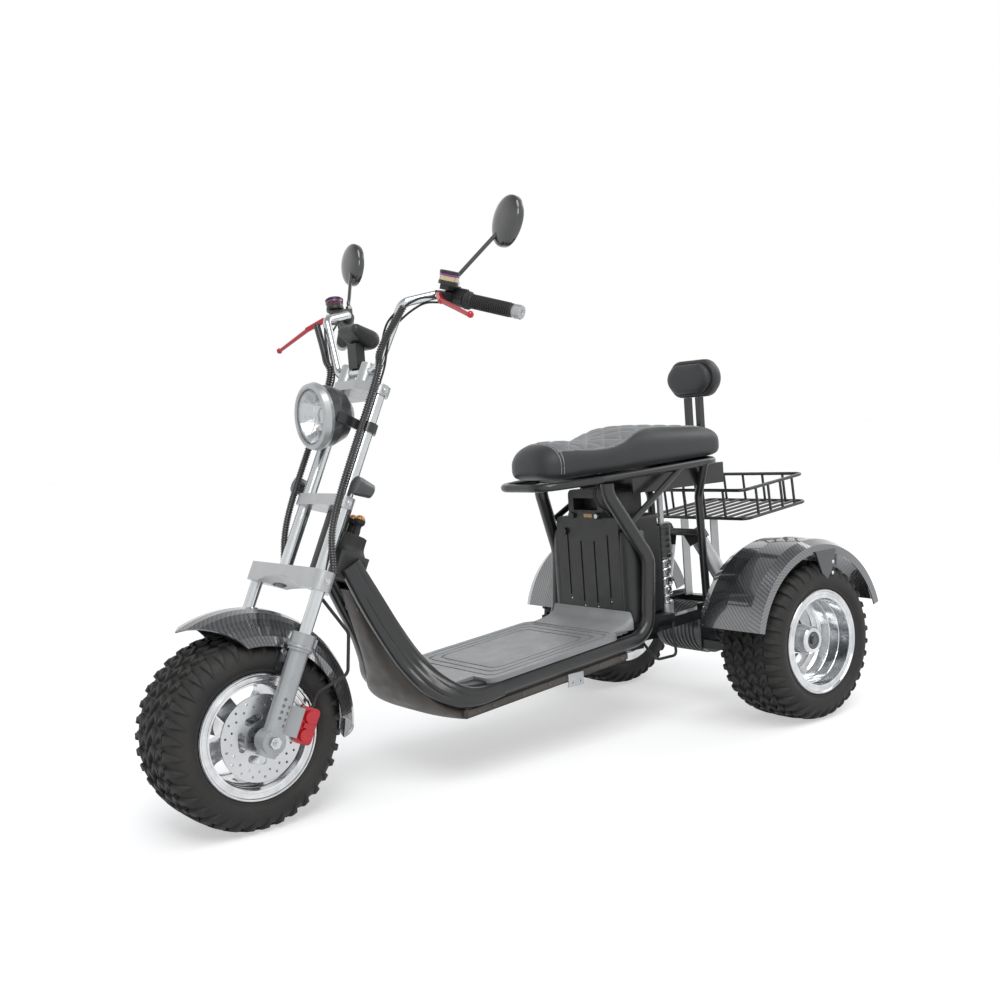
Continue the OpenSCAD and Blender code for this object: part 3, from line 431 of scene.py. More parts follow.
def runTree(mesh, tree, **values):
    # the tree's result as a plain mesh
    obj = addObject("points", mesh)
    mod = obj.modifiers.new(tree.name, "NODES")
    mod.node_group = tree
    for item in tree.interface.items_tree:
        if item.in_out == "INPUT" and item.name in values:
            mod[item.identifier] = values[item.name]
    depsgraph = bpy.context.evaluated_depsgraph_get()
    result = bpy.data.meshes.new_from_object(obj.evaluated_get(depsgraph), depsgraph=depsgraph)
    bpy.data.objects.remove(obj)
    return result


def buildRingTree():
    # copies of the shape turned round an axle that runs across the scooter
    tree, start, end = newTree("ringOfCopies", {"Count": "Int", "Centre": "Vector", "Finish": "Material"})
    line = node(tree, "GeometryNodeMeshLine", {"Count": start["Count"], "Offset": (0, 0, 0)})
    share = math2(tree, "DIVIDE", node(tree, "GeometryNodeInputIndex").outputs[0], start["Count"])
    turn = node(tree, "ShaderNodeCombineXYZ", {"Y": math2(tree, "MULTIPLY", share, 2 * pi)})
    euler = node(tree, "FunctionNodeEulerToRotation", {0: turn.outputs[0]})
    copy = node(tree, "GeometryNodeInstanceOnPoints", {"Points": line.outputs[0], "Instance": start["Geometry"],
                                                       "Rotation": euler.outputs[0]})
    move = node(tree, "GeometryNodeTransform", {"Geometry": copy.outputs[0], "Translation": start["Centre"]})
    return closeTree(tree, move.outputs[0], start["Finish"], end)


def copyFacing(tree, start, end, shape):
    # the shape on each point, its z along the attribute "facing"
    facing = node(tree, "GeometryNodeInputNamedAttribute", {"Name": "facing"}, data_type="FLOAT_VECTOR")
    turn = node(tree, "FunctionNodeAlignRotationToVector", {"Vector": facing.outputs[0]}, axis="Z")
    copy = node(tree, "GeometryNodeInstanceOnPoints", {"Points": start["Geometry"], "Instance": shape,
                                                       "Rotation": turn.outputs[0]})
    return closeTree(tree, copy.outputs[0], start["Finish"], end)


def buildHeadTree(washerShare=0.6, neckShare=0.74):
    # a washer and a head on each point
    tree, start, end = newTree("fastenerHeads", {"Radius": "Float", "Height": "Float", "Sides": "Int",
                                                 "Crown": "Float", "Finish": "Material"})
    radius, height = start["Radius"], start["Height"]
    washer = node(tree, "GeometryNodeMeshCylinder", {
        "Vertices": 18, "Radius": radius, "Depth": math2(tree, "MULTIPLY", height, washerShare)})
    head = node(tree, "GeometryNodeMeshCone", {
        "Vertices": start["Sides"], "Radius Bottom": math2(tree, "MULTIPLY", radius, neckShare),
        "Radius Top": math2(tree, "MULTIPLY", radius, start["Crown"]), "Depth": height})
    both = node(tree, "GeometryNodeJoinGeometry", {0: washer.outputs[0]})
    setInputs(tree, both, {0: head.outputs[0]})
    return copyFacing(tree, start, end, both.outputs[0])


def buildStitchTree():
    # a long bead on each point
    tree, start, end = newTree("stitchRow", {"Length": "Float", "Radius": "Float", "Finish": "Material"})
    bead = node(tree, "GeometryNodeMeshUVSphere", {"Segments": 6, "Rings": 4, "Radius": start["Radius"]})
    ratio = math2(tree, "DIVIDE", start["Length"], start["Radius"])
    size = node(tree, "ShaderNodeCombineXYZ", {0: 1.0, 1: 1.0, 2: math2(tree, "MULTIPLY", ratio, 0.5)})
    long = node(tree, "GeometryNodeTransform", {"Geometry": bead.outputs[0], "Scale": size.outputs[0]})
    return copyFacing(tree, start, end, long.outputs[0])


ringTree = buildRingTree()
headTree = buildHeadTree()
stitchTree = buildStitchTree()


def facingPoints(rows):
    # rows hold a place and the way it faces
    mesh = newMesh([at for at, way in rows])
    facing = mesh.attributes.new("facing", "FLOAT_VECTOR", "POINT")
    for item, (at, way) in zip(facing.data, rows):
        item.vector = Vector(way).normalized()
    return mesh


def addHeads(name, rows, body, slot, form, mat=None):
    # form is the radius, the height, the sides and the crown's share of the radius
    radius, height, sides, crown = form
    result = runTree(facingPoints(rows), headTree, Radius=radius, Height=height, Sides=sides, Crown=crown,
                     Finish=mat or looks[slot])
    addPiece(name, result, body, slot, 30.0, mat)


# tyres

tyreSet = {
    "segments": 168, "lugs": 36, "lugHeight": 0.0085, "sink": 0.003, "lugRadius": 0.215, "fullHalf": 0.1115,
    "flare": 2.6, "chamfer": 1.4, "chamferAt": 0.78, "soften": 25,
    # stations of one half row: along the crown from its middle, round the tyre, half width, share of the height
    "blocks": [
        [(2, -10, 7, 1), (20, 9, 7, 1), (37, -7, 7, 1)],
        [(42, -8, 7, 1), (59, 10, 7, 1), (70, 3, 7.5, 1)],
        [(74, 0, 8, 1), (92, -3, 8, 1), (100, -4, 6, 0.85), (112, -7, 3.6, 0.55), (124, -11, 1, 0.1)],
    ],
}


def tyreSection(half):
    # one side of the section from the bead to the crown's middle
    rim, bead, crown = 0.1433, 0.1263, 0.2105
    inner = half - 0.0153
    return [(bead, inner), (rim, inner), (rim + 0.002, half - 0.0098), (rim + 0.0055, half - 0.0072),
            (rim + 0.0085, half - 0.0074), (rim + 0.011, half - 0.0058), (rim + 0.018, half - 0.0016),
            (rim + 0.027, half), (rim + 0.036, half - 0.001), (rim + 0.045, half - 0.0045),
            (rim + 0.053, half - 0.011), (rim + 0.0595, half - 0.02), (crown - 0.0042, half - 0.031),
            (crown - 0.0015, half - 0.05), (crown, half - 0.078), (crown, 0.0)]


def lugRow(half, t):
    # the blocks of one pitch, those of the right half set off by half a pitch
    r, y = np.array(tyreSection(half)[::-1]).T
    arc = np.concatenate([[0], np.cumsum(np.hypot(np.diff(r), np.diff(y)))])
    fine = np.linspace(0, arc[-1], 400)
    wide = t["soften"]
    r, y = (np.convolve(np.pad(np.interp(fine, arc, v), wide // 2, mode="edge"), np.ones(wide) / wide, "valid")
            for v in (r, y))
    slopeR, slopeY = np.gradient(r), np.gradient(y)
    scale = half / t["fullHalf"] / 1000
    meshes = []
    for mirrored, pitch in ((1, 0.0), (-1, pi / t["lugs"])):
        for block in t["blocks"]:
            stations = [[a + (b - a) * f for a, b in zip(one, two)]
                        for one, two in zip(block, block[1:]) for f in (0.0, 0.25, 0.5, 0.75)]
            rings = []
            for s, c, h, share in stations + [block[-1]]:
                at = min(s * scale, fine[-1])
                rr, yy, nr, ny = (np.interp(at, fine, v) for v in (r, y, slopeY, -slopeR))
                size = hypot(nr, ny)
                top = t["lugHeight"] * share
                edge = [(h + t["flare"], -t["sink"]), (h, top * t["chamferAt"]), (h - t["chamfer"], top)]
                ring = []
                for width, lift in edge + [(-w, up) for w, up in edge[::-1]]:
                    a = (c + width) / 1000 / t["lugRadius"] + pitch
                    q = rr + nr / size * lift
                    ring.append((q * cos(a), mirrored * (yy + ny / size * lift), q * sin(a)))
                rings.append(ring)
            meshes.append(loft(rings))
    return joined(meshes)


def addTyre(nodeName, body, centre, half, t):
    side = tyreSection(half)
    outline = side[:2] + [(p.x, p.y) for p in smoothPath([(r, y, 0) for r, y in side[2:]], 3)]
    profile = outline + [(r, -y) for r, y in outline[::-1][1:]]
    verts = [centre + Vector((r * cos(a), y, r * sin(a))) for a in angles(t["segments"]) for r, y in profile]
    carcass = meshOf(verts, ringFaces(t["segments"], len(profile), True))
    lugs = runTree(lugRow(half, t), ringTree, Count=t["lugs"], Centre=tuple(centre), Finish=looks["tyre_rubber"])
    piece = addPiece(nodeName + "Visual", [carcass, lugs], body, "tyre_rubber", 30.0)
    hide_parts(nodeName)


addTyre("front_tyre", "front_wheel", frontAxle, 0.1115, tyreSet)
addTyre("rear_tyre_left", "rear_wheel_left", leftAxle, 0.1025, tyreSet)
addTyre("rear_tyre_right", "rear_wheel_right", rightAxle, 0.1025, tyreSet)
print("tyres made")

# rolled lips and stepped liners of the rims

lipSet = {
    # out from the face and radius, both in millimetres
    "lip": [(-0.4, 142.7), (1.6, 142.6), (3.2, 141.6), (3.9, 139.8), (3.4, 137.8), (1.8, 136.4), (0.6, 135.6),
            (0.4, 130.2), (1.5, 128.6), (1.9, 126.6), (1.5, 124.8), (0.5, 123.4), (0.4, 120.6), (-0.8, 118.9),
            (-4.0, 118.5)],
    "steps": 3, "stepCurve": [(2.6, 0.0), (1.2, 0.5), (0.0, 1.7)], "wall": 119.3, "shortReach": 30.0,
    # body, rim, its axle, the face and the liner's foot from the middle plane, sides
    "wheels": [("front_wheel", "front_rim", frontAxle, 101.6, 41.0, (1, -1)),
               ("rear_wheel_left", "rear_rim_left", leftAxle, 478.6, 384.0, (1,)),
               ("rear_wheel_right", "rear_rim_right", rightAxle, 478.6, 384.0, (-1,))],
}


def addLips(s):
    for body, rim, axle, face, foot, sides in s["wheels"]:
        meshes = []
        for side in sides:
            profile = [(face + out, r) for out, r in s["lip"]]
            start, r = profile[-1]
            low = face - s["shortReach"] if side != sides[0] else foot
            for k in range(1, s["steps"] + 1):
                end = start - (start - foot) / s["steps"] * k
                if end < low - 0.1:
                    break
                profile += [(end + back, r - drop) for back, drop in s["stepCurve"]]
                r = profile[-1][1]
            profile += [(profile[-1][0], s["wall"]), (profile[0][0], s["wall"]), profile[0]]
            centre = Vector((axle.x, 0, axle.z))
            meshes.append(turnAlong(centre, Vector((0, side, 0)), profile, 128, False))
        addPiece(rim + "Lip", meshes, body, "polished_rim", 28.0, turned[rim])


addLips(lipSet)
print("rim lips made")

# coil springs of the leaning shocks and of the upright ones behind the battery

springSet = [  # upper end, lower end, turns, coil and wire radius in metres, finish
    {"top": (-12.65, 121.3, 364.5), "low": (-48.5, 183.9, 232.6), "turns": 6.0, "coil": 0.0222, "wire": 0.0046,
     "slot": "frame_black"},
    {"top": (215, 105, 459.0), "low": (215, 105, 327.8), "turns": 5.5, "coil": 0.0175, "wire": 0.0040,
     "slot": "chrome"},
]


def addSprings(sets, perTurn=28, flatShare=0.06):
    for i, s in enumerate(sets):
        meshes = []
        for side in (1, -1):
            top, low = (sided(place, s[end], side) for end in ("top", "low"))
            run = low - top
            inset = s["wire"] / run.length
            ex = run.orthogonal().normalized()
            ey = run.normalized().cross(ex)
            count = int(s["turns"] * perTurn)
            path = []
            for k in range(count + 1):
                a = 2 * pi * k / perTurn
                along = min(max((k / count - flatShare) / (1 - 2 * flatShare), 0.0), 1.0)
                at = top + run * (inset + (1 - 2 * inset) * along)
                path.append(at + (ex * cos(a) + ey * sin(a)) * s["coil"])
            meshes.append(sweepMesh(path, s["wire"], 10))
        addPiece("coilSprings" + str(i), meshes, "chassis", s["slot"])
    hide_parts("shock_springs")


addSprings(springSet)

# corrugated looms up the fork

loomSet = {"route": [(-40, 124, 396.2), (-2, 114, 532), (4, 114, 858), (26, 132, 929), (44, 206, 1023)],
           "radius": 0.0089, "groove": 0.0068, "pitch": 0.0062}


def addLooms(s):
    meshes = []
    for side in (1, -1):
        path = smoothPath([sided(forkPlace, at, side) for at in s["route"]], 60)
        arc = np.concatenate([[0], np.cumsum([(b - a).length for a, b in zip(path, path[1:])])])
        count = int(arc[-1] / s["pitch"]) * 4
        xyz = np.array([tuple(p) for p in path])
        even = [Vector([np.interp(a, arc, xyz[:, k]) for k in range(3)]) for a in np.linspace(0, arc[-1], count + 1)]
        radii = [s["radius"] if i % 4 in (1, 2) else s["groove"] for i in range(count + 1)]
        meshes.append(sweepMesh(even, radii, 14))
    piece = addPiece("corrugatedLooms", meshes, "steering", "rubber", 60.0, loomPlastic)
    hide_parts("wiring_looms")


addLooms(loomSet)
print("springs and looms made")

# boot over the steering head's bracket

bootSet = {
    # up the rake, rear and front across it, half width
    "rows": [(402, -165, -80, 57), (405, -166.5, -79, 59), (440, -166, -79, 59.5), (459, -163.5, -79.5, 57.5),
             (472, -159.5, -80.5, 47), (484, -157.5, -81, 37), (504, -156.5, -81.5, 33.5), (513, -155.5, -82, 32.5),
             (515.5, -152, -85, 29)],
    "sides": 64, "square": 0.4,
}


def addBoot(b):
    rings = []
    heights = smoothPath([row[:3] for row in b["rows"]], 5)
    widths = smoothPath([(row[3], 0, 0) for row in b["rows"]], 5)
    for (s, rear, front), half in zip(heights, widths):
        mid, deep = (rear + front) / 2, (front - rear) / 2
        rings.append([forkPlace(mid + deep * u, half.x * v, s) for u, v in squircle(b["sides"], b["square"])])
    addPiece("headBoot", loft(rings), "chassis", "rubber", 40.0)


addBoot(bootSet)

# dark sleeves round the upper ends of the upright shocks, in millimetres

sleeveSet = {"foot": (215, 105, 460.5), "height": 98, "radius": 25.8, "bore": 25.2, "grooves": 3,
             "groove": [(-2, 0), (-1, -0.4), (1, -0.4), (2, 0)], "grooveFrom": 12, "plain": 30,
             "lowCuff": [(0, 1), (4, 2), (10, 2), (12, 0)], "highCuff": [(-16, 0), (-14, 1.6), (-3, 1.6), (0, 0)]}


def addSleeves(s):
    h, r = s["height"], s["radius"]
    profile = [(0, s["bore"])] + [(up, r + out) for up, out in s["lowCuff"]]
    for k in range(1, s["grooves"] + 1):
        z = s["grooveFrom"] + k * (h - s["plain"]) / (s["grooves"] + 1)
        profile += [(z + up, r + out) for up, out in s["groove"]]
    profile += [(h + up, r + out) for up, out in s["highCuff"]] + [(h, s["bore"])]
    meshes = [turnAlong(sided(place, s["foot"], side), Vector((0, 0, 1)), profile, 40, False) for side in (1, -1)]
    addPiece("shockSleeves", meshes, "chassis", "frame_black", 30.0)


addSleeves(sleeveSet)

# moulded beams down the neck into the floor's edge, the bow in front of them and the apron between them

neckSet = {
    # along the left beam: x, y, z, half height and half thickness
    "beam": [(1212, 59, 566, 27, 16), (1164, 63, 470, 31, 17), (1120, 71, 384, 32, 18), (1085, 95, 312, 33, 20),
             (1054, 138, 258, 33, 21), (1012, 174, 226, 29, 21.5), (960, 188, 215.8, 23, 21),
             (890, 190, 221.9, 20, 20)],
    "grooves": [-11.0, 9.0], "grooveDepth": 3.2, "grooveWide": 2.6, "sides": 72, "steps": 14, "square": 0.62,
    # up the bow: height, front, half width, rear
    "bow": [(164, 1004, 176, 958), (165.5, 1020, 181, 958), (171, 1037, 184, 962), (184, 1057, 182, 968),
            (205, 1079, 167, 978), (232, 1098, 142, 994), (262, 1113, 114, 1014), (300, 1130, 90, 1042),
            (345, 1147, 72, 1068), (400, 1166, 61, 1100), (455, 1184, 54, 1131), (500, 1198, 49, 1156)],
    "bowRound": 24.0, "bowPower": 3.2, "bowSteps": 20, "bowInset": 3, "fadeFrom": 20, "fadeRun": 9,
    "pan": ((455, 1003), (-196, 196), (-46, -19.4)), "panBevel": 0.006,
    "apronHalf": 7, "apronSides": 64, "apronRise": 9, "apronFrom": 1054, "apronRun": 94, "apronLift": 0.62,
    "apronSquare": 0.5, "apronTrim": 4, "apronTuck": 0.5, "floor": (213, 990, (266 - 213) / 595),
}


def floorPlace(x, y, drop):
    # on the sloping line of the floor's tubes, or above it by drop
    low, front, slope = neckSet["floor"]
    return place(x, y, low + (front - x) * slope + drop)


def beamRows(n):
    # evenly curved stations with their sizes, and the directions across each
    mid = smoothPath([row[:3] for row in n["beam"]], n["steps"])
    size = smoothPath([(*row[3:], 0) for row in n["beam"]], n["steps"])
    rows = []
    for i, at in enumerate(mid):
        t = (mid[min(i + 1, len(mid) - 1)] - mid[max(i - 1, 0)]).normalized()
        inner = Vector((t.z, 0, -t.x)).normalized()
        rows.append((at, size[i].x, size[i].y, inner, t.cross(inner).normalized()))
    return rows


def addBeams(n):
    meshes = []
    for side in (1, -1):
        rings = []
        for at, tall, thick, inner, out in beamRows(n):
            outward = out if out.y > 0 else -out
            fade = min(1.0, (tall - n["fadeFrom"]) / n["fadeRun"])  # the grooves run out where the beam gets low
            ring = []
            for u, v in squircle(n["sides"], n["square"]):
                u, v = tall * u, thick * v
                if v > 0:
                    v -= fade * sum(n["grooveDepth"] * exp(-((u - g) / n["grooveWide"]) ** 2)
                                    for g in n["grooves"])
                ring.append(sided(place, at + inner * u + outward * v, side))
            rings.append(ring)
        meshes.append(loft(rings))
    addPiece("neckBeams", meshes, "chassis", "frame_black", 50.0)


def addBow(n):
    rings = []
    steps, inset = n["bowSteps"], n["bowInset"]
    edges = [sin((k / steps - 1) * pi / 2) for k in range(2 * steps + 1)]
    rears = smoothPath([(rear, 0, z) for z, front, half, rear in n["bow"]], 8)
    for row, rear in zip(smoothPath([(front, half, z) for z, front, half, rear in n["bow"]], 8), rears):
        front, half, z = row
        rings.append([place(front - n["bowRound"] * abs(e) ** n["bowPower"], half * e, z) for e in edges]
                     + [place(rear.x, y, z) for y in (half - inset, 0, -half + inset)])
    pan = boxMesh(floorPlace, *n["pan"])
    pan = joined([pan], pan, lambda bm: bmesh.ops.bevel(bm, geom=bm.edges, offset=n["panBevel"], segments=3,
                                                        affect="EDGES"))
    # the bow and pan take the dark panel colour, whose brown tint is a painted reflection of the floor
    piece = addPiece("bowAndPan", [loft(rings), pan], "chassis", "panel_brown", 40.0)
    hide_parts("belly_pan")


def addApron(n):
    rings = []
    thin = n["apronHalf"]
    for at, tall, thick, inner, out in beamRows(n)[n["apronTrim"]:-n["apronTrim"]]:
        half = at.y - thick * n["apronTuck"]
        # up to the floor's top at its front edge
        rise = n["apronRise"] * min(1.0, max(0.0, (n["apronFrom"] - at.x) / n["apronRun"]))
        ring = []
        for u, v in squircle(n["apronSides"], n["apronSquare"]):
            w = at + inner * (tall * n["apronLift"] + rise - thin * (1 - u * u) + thin * v)
            ring.append(place(w.x, half * u, w.z))
        rings.append(ring)
    piece = addPiece("neckApron", loft(rings), "chassis", "dark_plastic", 50.0)
    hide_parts("neck_cover")


addBeams(neckSet)
addBow(neckSet)
addApron(neckSet)
print("neck and floor sides made")

# saddle: a lofted pad with a quilted top, seams and stitches

saddleSet = {
    "base": 733.4, "slope": 0.04366, "rear": -38.0, "nose": 612.0, "rearCap": 62.0, "noseCap": 96.0,
    # along the seat, half width, height, roundness of the upper edge
    "stations": [(-38, 141, 87, 2.9), (40, 145, 97, 2.9), (120, 146, 106, 2.9), (200, 145, 115, 2.8),
                 (262, 143, 120, 2.7), (300, 140, 118, 2.7), (335, 136, 108, 2.7), (368, 132, 98, 2.7),
                 (425, 124, 94, 2.6), (480, 116, 100, 2.5), (535, 108, 105, 2.4), (580, 101, 103, 2.3),
                 (612, 96, 99, 2.2)],
    "seamDeg": [(-40, 62), (200, 60), (250, 55), (300, 44), (345, 33), (400, 28), (470, 29), (560, 34)],
    "quiltPitch": 64.0, "quiltDepth": 2.4, "quiltSlant": 0.9, "noseSeam": 562.0, "along": 260, "round": 128,
    "capPower": 3.4, "closeWide": 0.30, "closeUp": 0.42, "closeDown": 0.36, "upShare": 0.6,
    "seamDepth": 1.8, "seamWideDeg": 2.25, "noseDepth": 1.6, "noseWide": 5.0, "quiltWide": 6.5, "puff": 1.2,
    "puffDeg": 14.0, "sideLowDeg": -40, "stitchLength": 0.0037, "stitchRadius": 0.00062, "stitchLift": -0.0009,
    "seamGapDeg": 2.6, "noseGap": 4.0, "seamPitch": 5.2, "nosePitchDeg": 2.4, "quiltStitch": 4.6,
    "lowSquare": 7, "lowRound": 3.2, "quiltAcross": 0.74, "evenShare": 0.45, "pushSide": 0.6, "tip": 0.02,
    # where the stitches run: from the rear and the nose seam, round the nose, and along and across the quilting
    "seamEnds": (22, -3), "noseDegs": (-24, 205), "quiltRows": (-1, 10), "quiltReach": 150.0, "quiltEnds": (26, -8),
    "quiltHalf": 0.985, "quiltGapDeg": 2.5, "stitchFan": 300, "stitchUp": 0.8,
}


def saddleRow(s, x):
    # half width, upper and lower half heights, middle height, roundness at one place along the seat
    xs = [r[0] for r in s["stations"]]
    near = [x + d for d in (-20, -10, 0, 10, 20)]
    w, h, n = (float(np.mean(np.interp(near, xs, [r[k] for r in s["stations"]]))) for k in (1, 2, 3))
    t = max((x - s["nose"] + s["noseCap"]) / s["noseCap"], (s["rear"] + s["rearCap"] - x) / s["rearCap"], 0.0)
    close = max(1 - min(t, 1.0) ** s["capPower"], 0.0)
    up = s["upShare"] * h
    mid = s["base"] - s["slope"] * x + h - up
    return w * close ** s["closeWide"], up * close ** s["closeUp"], (h - up) * close ** s["closeDown"], mid, n


def saddlePoint(s, x, deg):
    w, up, down, mid, n = saddleRow(s, x)
    c, q = cos(radians(deg)), sin(radians(deg))
    if q >= 0:
        return Vector((x, w * power(c, 2 / n), mid + up * q ** (2 / n)))
    return Vector((x, w * power(c, 2 / s["lowSquare"]), mid - down * abs(q) ** (2 / s["lowRound"])))


def seamAt(s, x):
    return float(np.interp(x, *zip(*s["seamDeg"])))


def quiltLines(s, x, y):
    # distance to the nearest of two families of slanting seams
    shares = [(x + slant * abs(y)) / s["quiltPitch"] for slant in (s["quiltSlant"], -s["quiltSlant"])]
    return min(abs(f - round(f)) for f in shares) * s["quiltPitch"] * s["quiltAcross"]


def riseOf(deg):
    return deg if deg <= 90 else 180 - deg


def saddlePush(s, x, y, rise):
    # how far the cover stands out from the plain loft, in millimetres
    push = 0.0
    edge = seamAt(s, x)
    if rise > s["sideLowDeg"]:
        if x < s["noseSeam"] + s["noseGap"]:
            push -= s["seamDepth"] * exp(-((rise - edge) / s["seamWideDeg"]) ** 2)
        push -= s["noseDepth"] * exp(-((x - s["noseSeam"]) / s["noseWide"]) ** 2)
    if rise > edge and x < s["noseSeam"]:
        push -= s["quiltDepth"] * exp(-(quiltLines(s, x, y) / s["quiltWide"]) ** 2)
        push += s["puff"] * min((rise - edge) / s["puffDeg"], 1.0)
    return push


def addSaddle(s):
    ends = (s["rear"], s["nose"])
    xs = ends[0] + (ends[1] - ends[0]) * (0.5 - 0.5 * np.cos(np.linspace(0.0, pi, s["along"])))
    xs = (1 - s["evenShare"]) * xs + s["evenShare"] * np.linspace(*ends, s["along"])
    count, sides = s["along"], s["round"]
    degs = [360.0 * k / sides - 90.0 for k in range(sides)]
    verts = []
    for x in xs:
        x = float(min(max(x, ends[0] + s["tip"]), ends[1] - s["tip"]))
        for d in degs:
            v = saddlePoint(s, x, d)
            out = Vector((0, cos(radians(d)) * s["pushSide"], sin(radians(d))))
            verts.append(place(*(v + out.normalized() * saddlePush(s, x, v.y, riseOf(d)))))
    mesh = newMesh(verts, ringFaces(count, sides) + endFaces(count, sides))
    piece = addPiece("saddlePad", mesh, "chassis", "saddle_cover", 80.0)
    mesh.materials.append(saddleTop)
    for i in range((count - 1) * sides):
        x = float(xs[i // sides] + xs[i // sides + 1]) / 2
        onTop = riseOf(degs[i % sides] + 180.0 / sides) > seamAt(s, x) and x < s["noseSeam"]
        mesh.polygons[i].material_index = 1 if onTop else 0
    joined([mesh], mesh, turnOutward)
    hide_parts("saddle")


def seamLines(s):
    # lines of stitches as (along, degrees round) pairs: beside the seams, then along the quilting
    lines = []
    first, last = s["rear"] + s["seamEnds"][0], s["noseSeam"] + s["seamEnds"][1]
    low, high = s["rear"] + s["quiltEnds"][0], s["noseSeam"] + s["quiltEnds"][1]
    for side in (1, -1):
        for gap in (-s["seamGapDeg"], s["seamGapDeg"]):
            lines.append([(x, seamAt(s, x) + gap if side > 0 else 180 - seamAt(s, x) - gap)
                          for x in np.arange(first, last, s["seamPitch"])])
    for gap in (-s["noseGap"], s["noseGap"]):
        lines.append([(s["noseSeam"] + gap, d) for d in np.arange(*s["noseDegs"], s["nosePitchDeg"])])
    for step in range(*s["quiltRows"]):
        for slant in (s["quiltSlant"], -s["quiltSlant"]):
            for side in (1, -1):
                line = []
                for off in np.arange(0.0, s["quiltReach"], s["quiltStitch"]):
                    x = step * s["quiltPitch"] - slant * off
                    w, up, down, mid, n = saddleRow(s, x)
                    if not low < x < high or off > w * s["quiltHalf"]:
                        continue
                    deg = degrees(acos(min((off / w) ** (n / 2), 1.0)))
                    if deg > seamAt(s, x) + s["quiltGapDeg"]:
                        line.append((x, deg if side > 0 else 180 - deg))
                if len(line) > 2:
                    lines.append(line)
    return lines


def addStitches(s):
    rows = []
    for line in seamLines(s):
        pts = [saddlePoint(s, x, d) for x, d in line]
        for a, b in zip(pts, pts[1:]):
            mid = (a + b) / 2
            out = Vector((0, mid.y / s["stitchFan"], s["stitchUp"])).normalized()
            rows.append((place(*mid) + out * s["stitchLift"], b - a))
    result = runTree(facingPoints(rows), stitchTree, Length=s["stitchLength"], Radius=s["stitchRadius"],
                     Finish=stitchThread)
    addPiece("saddleStitches", result, "chassis", "silver_paint", 60.0, stitchThread)


stitchThread = finish("stitchThread", (0.62, 0.62, 0.6), 0.7, grain=2500.0, vary=0.1)
saddleTop = perforatedTop("saddleTopCloth", (0.2, 0.205, 0.212), 0.0042)
addSaddle(saddleSet)
addStitches(saddleSet)
print("saddle made")

# backrest pad: a moulded surround with a fuller cushion in front

backrestSet = {"x": -60.0, "z": 965.0, "halfWidth": 97.0, "halfHeight": 56.0, "flat": 20.0, "shoulder": 64.0,
               "sides": 120, "soften": 4,
               # station ahead of the middle, inset of the outline
               "layers": [(-31.5, 30), (-31, 16), (-28, 7), (-22, 2), (-14, 0), (0, 0), (5, 1.5), (8, 5), (8.6, 9),
                          (6.5, 12.5), (7.5, 15), (11, 12.5), (16, 12), (22, 13.5), (27, 18), (30, 26), (31.3, 38),
                          (31.6, 48)]}


def backrestOutline(b, inset):
    w, h = b["halfWidth"] - inset, b["halfHeight"] - inset
    f, k = b["flat"] * h / b["halfHeight"], b["shoulder"] * w / b["halfWidth"]
    corners = [(w, -f), (w, f), (k, h), (-k, h), (-w, f), (-w, -f), (-k, -h), (k, -h), (w, -f)]
    pts = np.array(corners, float)
    arc = np.concatenate([[0], np.cumsum(np.hypot(*np.diff(pts, axis=0).T))])
    at = np.linspace(0, arc[-1], b["sides"], endpoint=False)
    ring = np.stack([np.interp(at, arc, pts[:, 0]), np.interp(at, arc, pts[:, 1])], 1)
    reach = b["soften"]
    return sum(np.roll(ring, i, axis=0) for i in range(-reach, reach + 1)) / (2 * reach + 1)


def addBackrest(b):
    rings = [[place(b["x"] + ahead, y, b["z"] + z) for y, z in backrestOutline(b, inset)]
             for ahead, inset in b["layers"]]
    piece = addPiece("backrestCushion", loft(rings), "chassis", "saddle_cover", 70.0)
    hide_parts("backrest_pad")


addBackrest(backrestSet)
print("backrest made")

# bar ends: grips, plugs and fluid cups; sections are (along, radius) in millimetres

barSet = {
    "end": (-129, 385, 1072), "bend": (-34, 215, 1091), "grip": 17.2, "gripLength": 125, "ribs": 21,
    "ribFrom": 6, "plain": 24,
    "rib": [(0, -1.7), (0.8, 0), (3.4, 0), (4.2, -1.7)], "gripTip": [(-5.5, 6), (-5.5, 13), (-4, 15.2), (0, 16.5)],
    "gripFoot": [(110, 16.5), (113, 21.2), (122.5, 21.8), (124.8, 19.5), (124.8, 11.2)],
    "plug": [(4, 12), (4, 15.2), (7.5, 16.8), (12, 16.8), (13, 16.1), (14.5, 16.1), (15.5, 16.8), (24, 16.6),
             (26.2, 14.8), (26.2, 6), (23.5, 4.5)],
    "cup": (28, 0, 163), "cupBase": [(26.2, 22.2), (26.2, 23.2), (33.5, 23.2), (34.5, 22.2)],
    "cupRing": [(45.5, 22.1), (46, 23.6), (50.5, 23.6), (51, 22.1)],
    "cupLid": [(51.2, 22.1), (51.2, 24), (56.5, 24), (58.2, 22.2), (58.2, 12), (57.2, 11), (57.2, 4)],
}


def barAxes(side):
    end, bend = (sided(forkPlace, barSet[at], side) for at in ("end", "bend"))
    inward = (bend - end).normalized()
    ahead = Vector((0, 0, 1)).cross(inward).normalized()
    if ahead.x < 0:
        ahead = -ahead
    up = inward.cross(ahead).normalized()
    return end, ahead, up if up.z >= 0 else -up, inward


def barPoint(side, x, y, z):  # millimetres ahead, up and inwards from the bar's end
    end, ahead, up, inward = barAxes(side)
    return end + (ahead * x + up * y + inward * z) / 1000


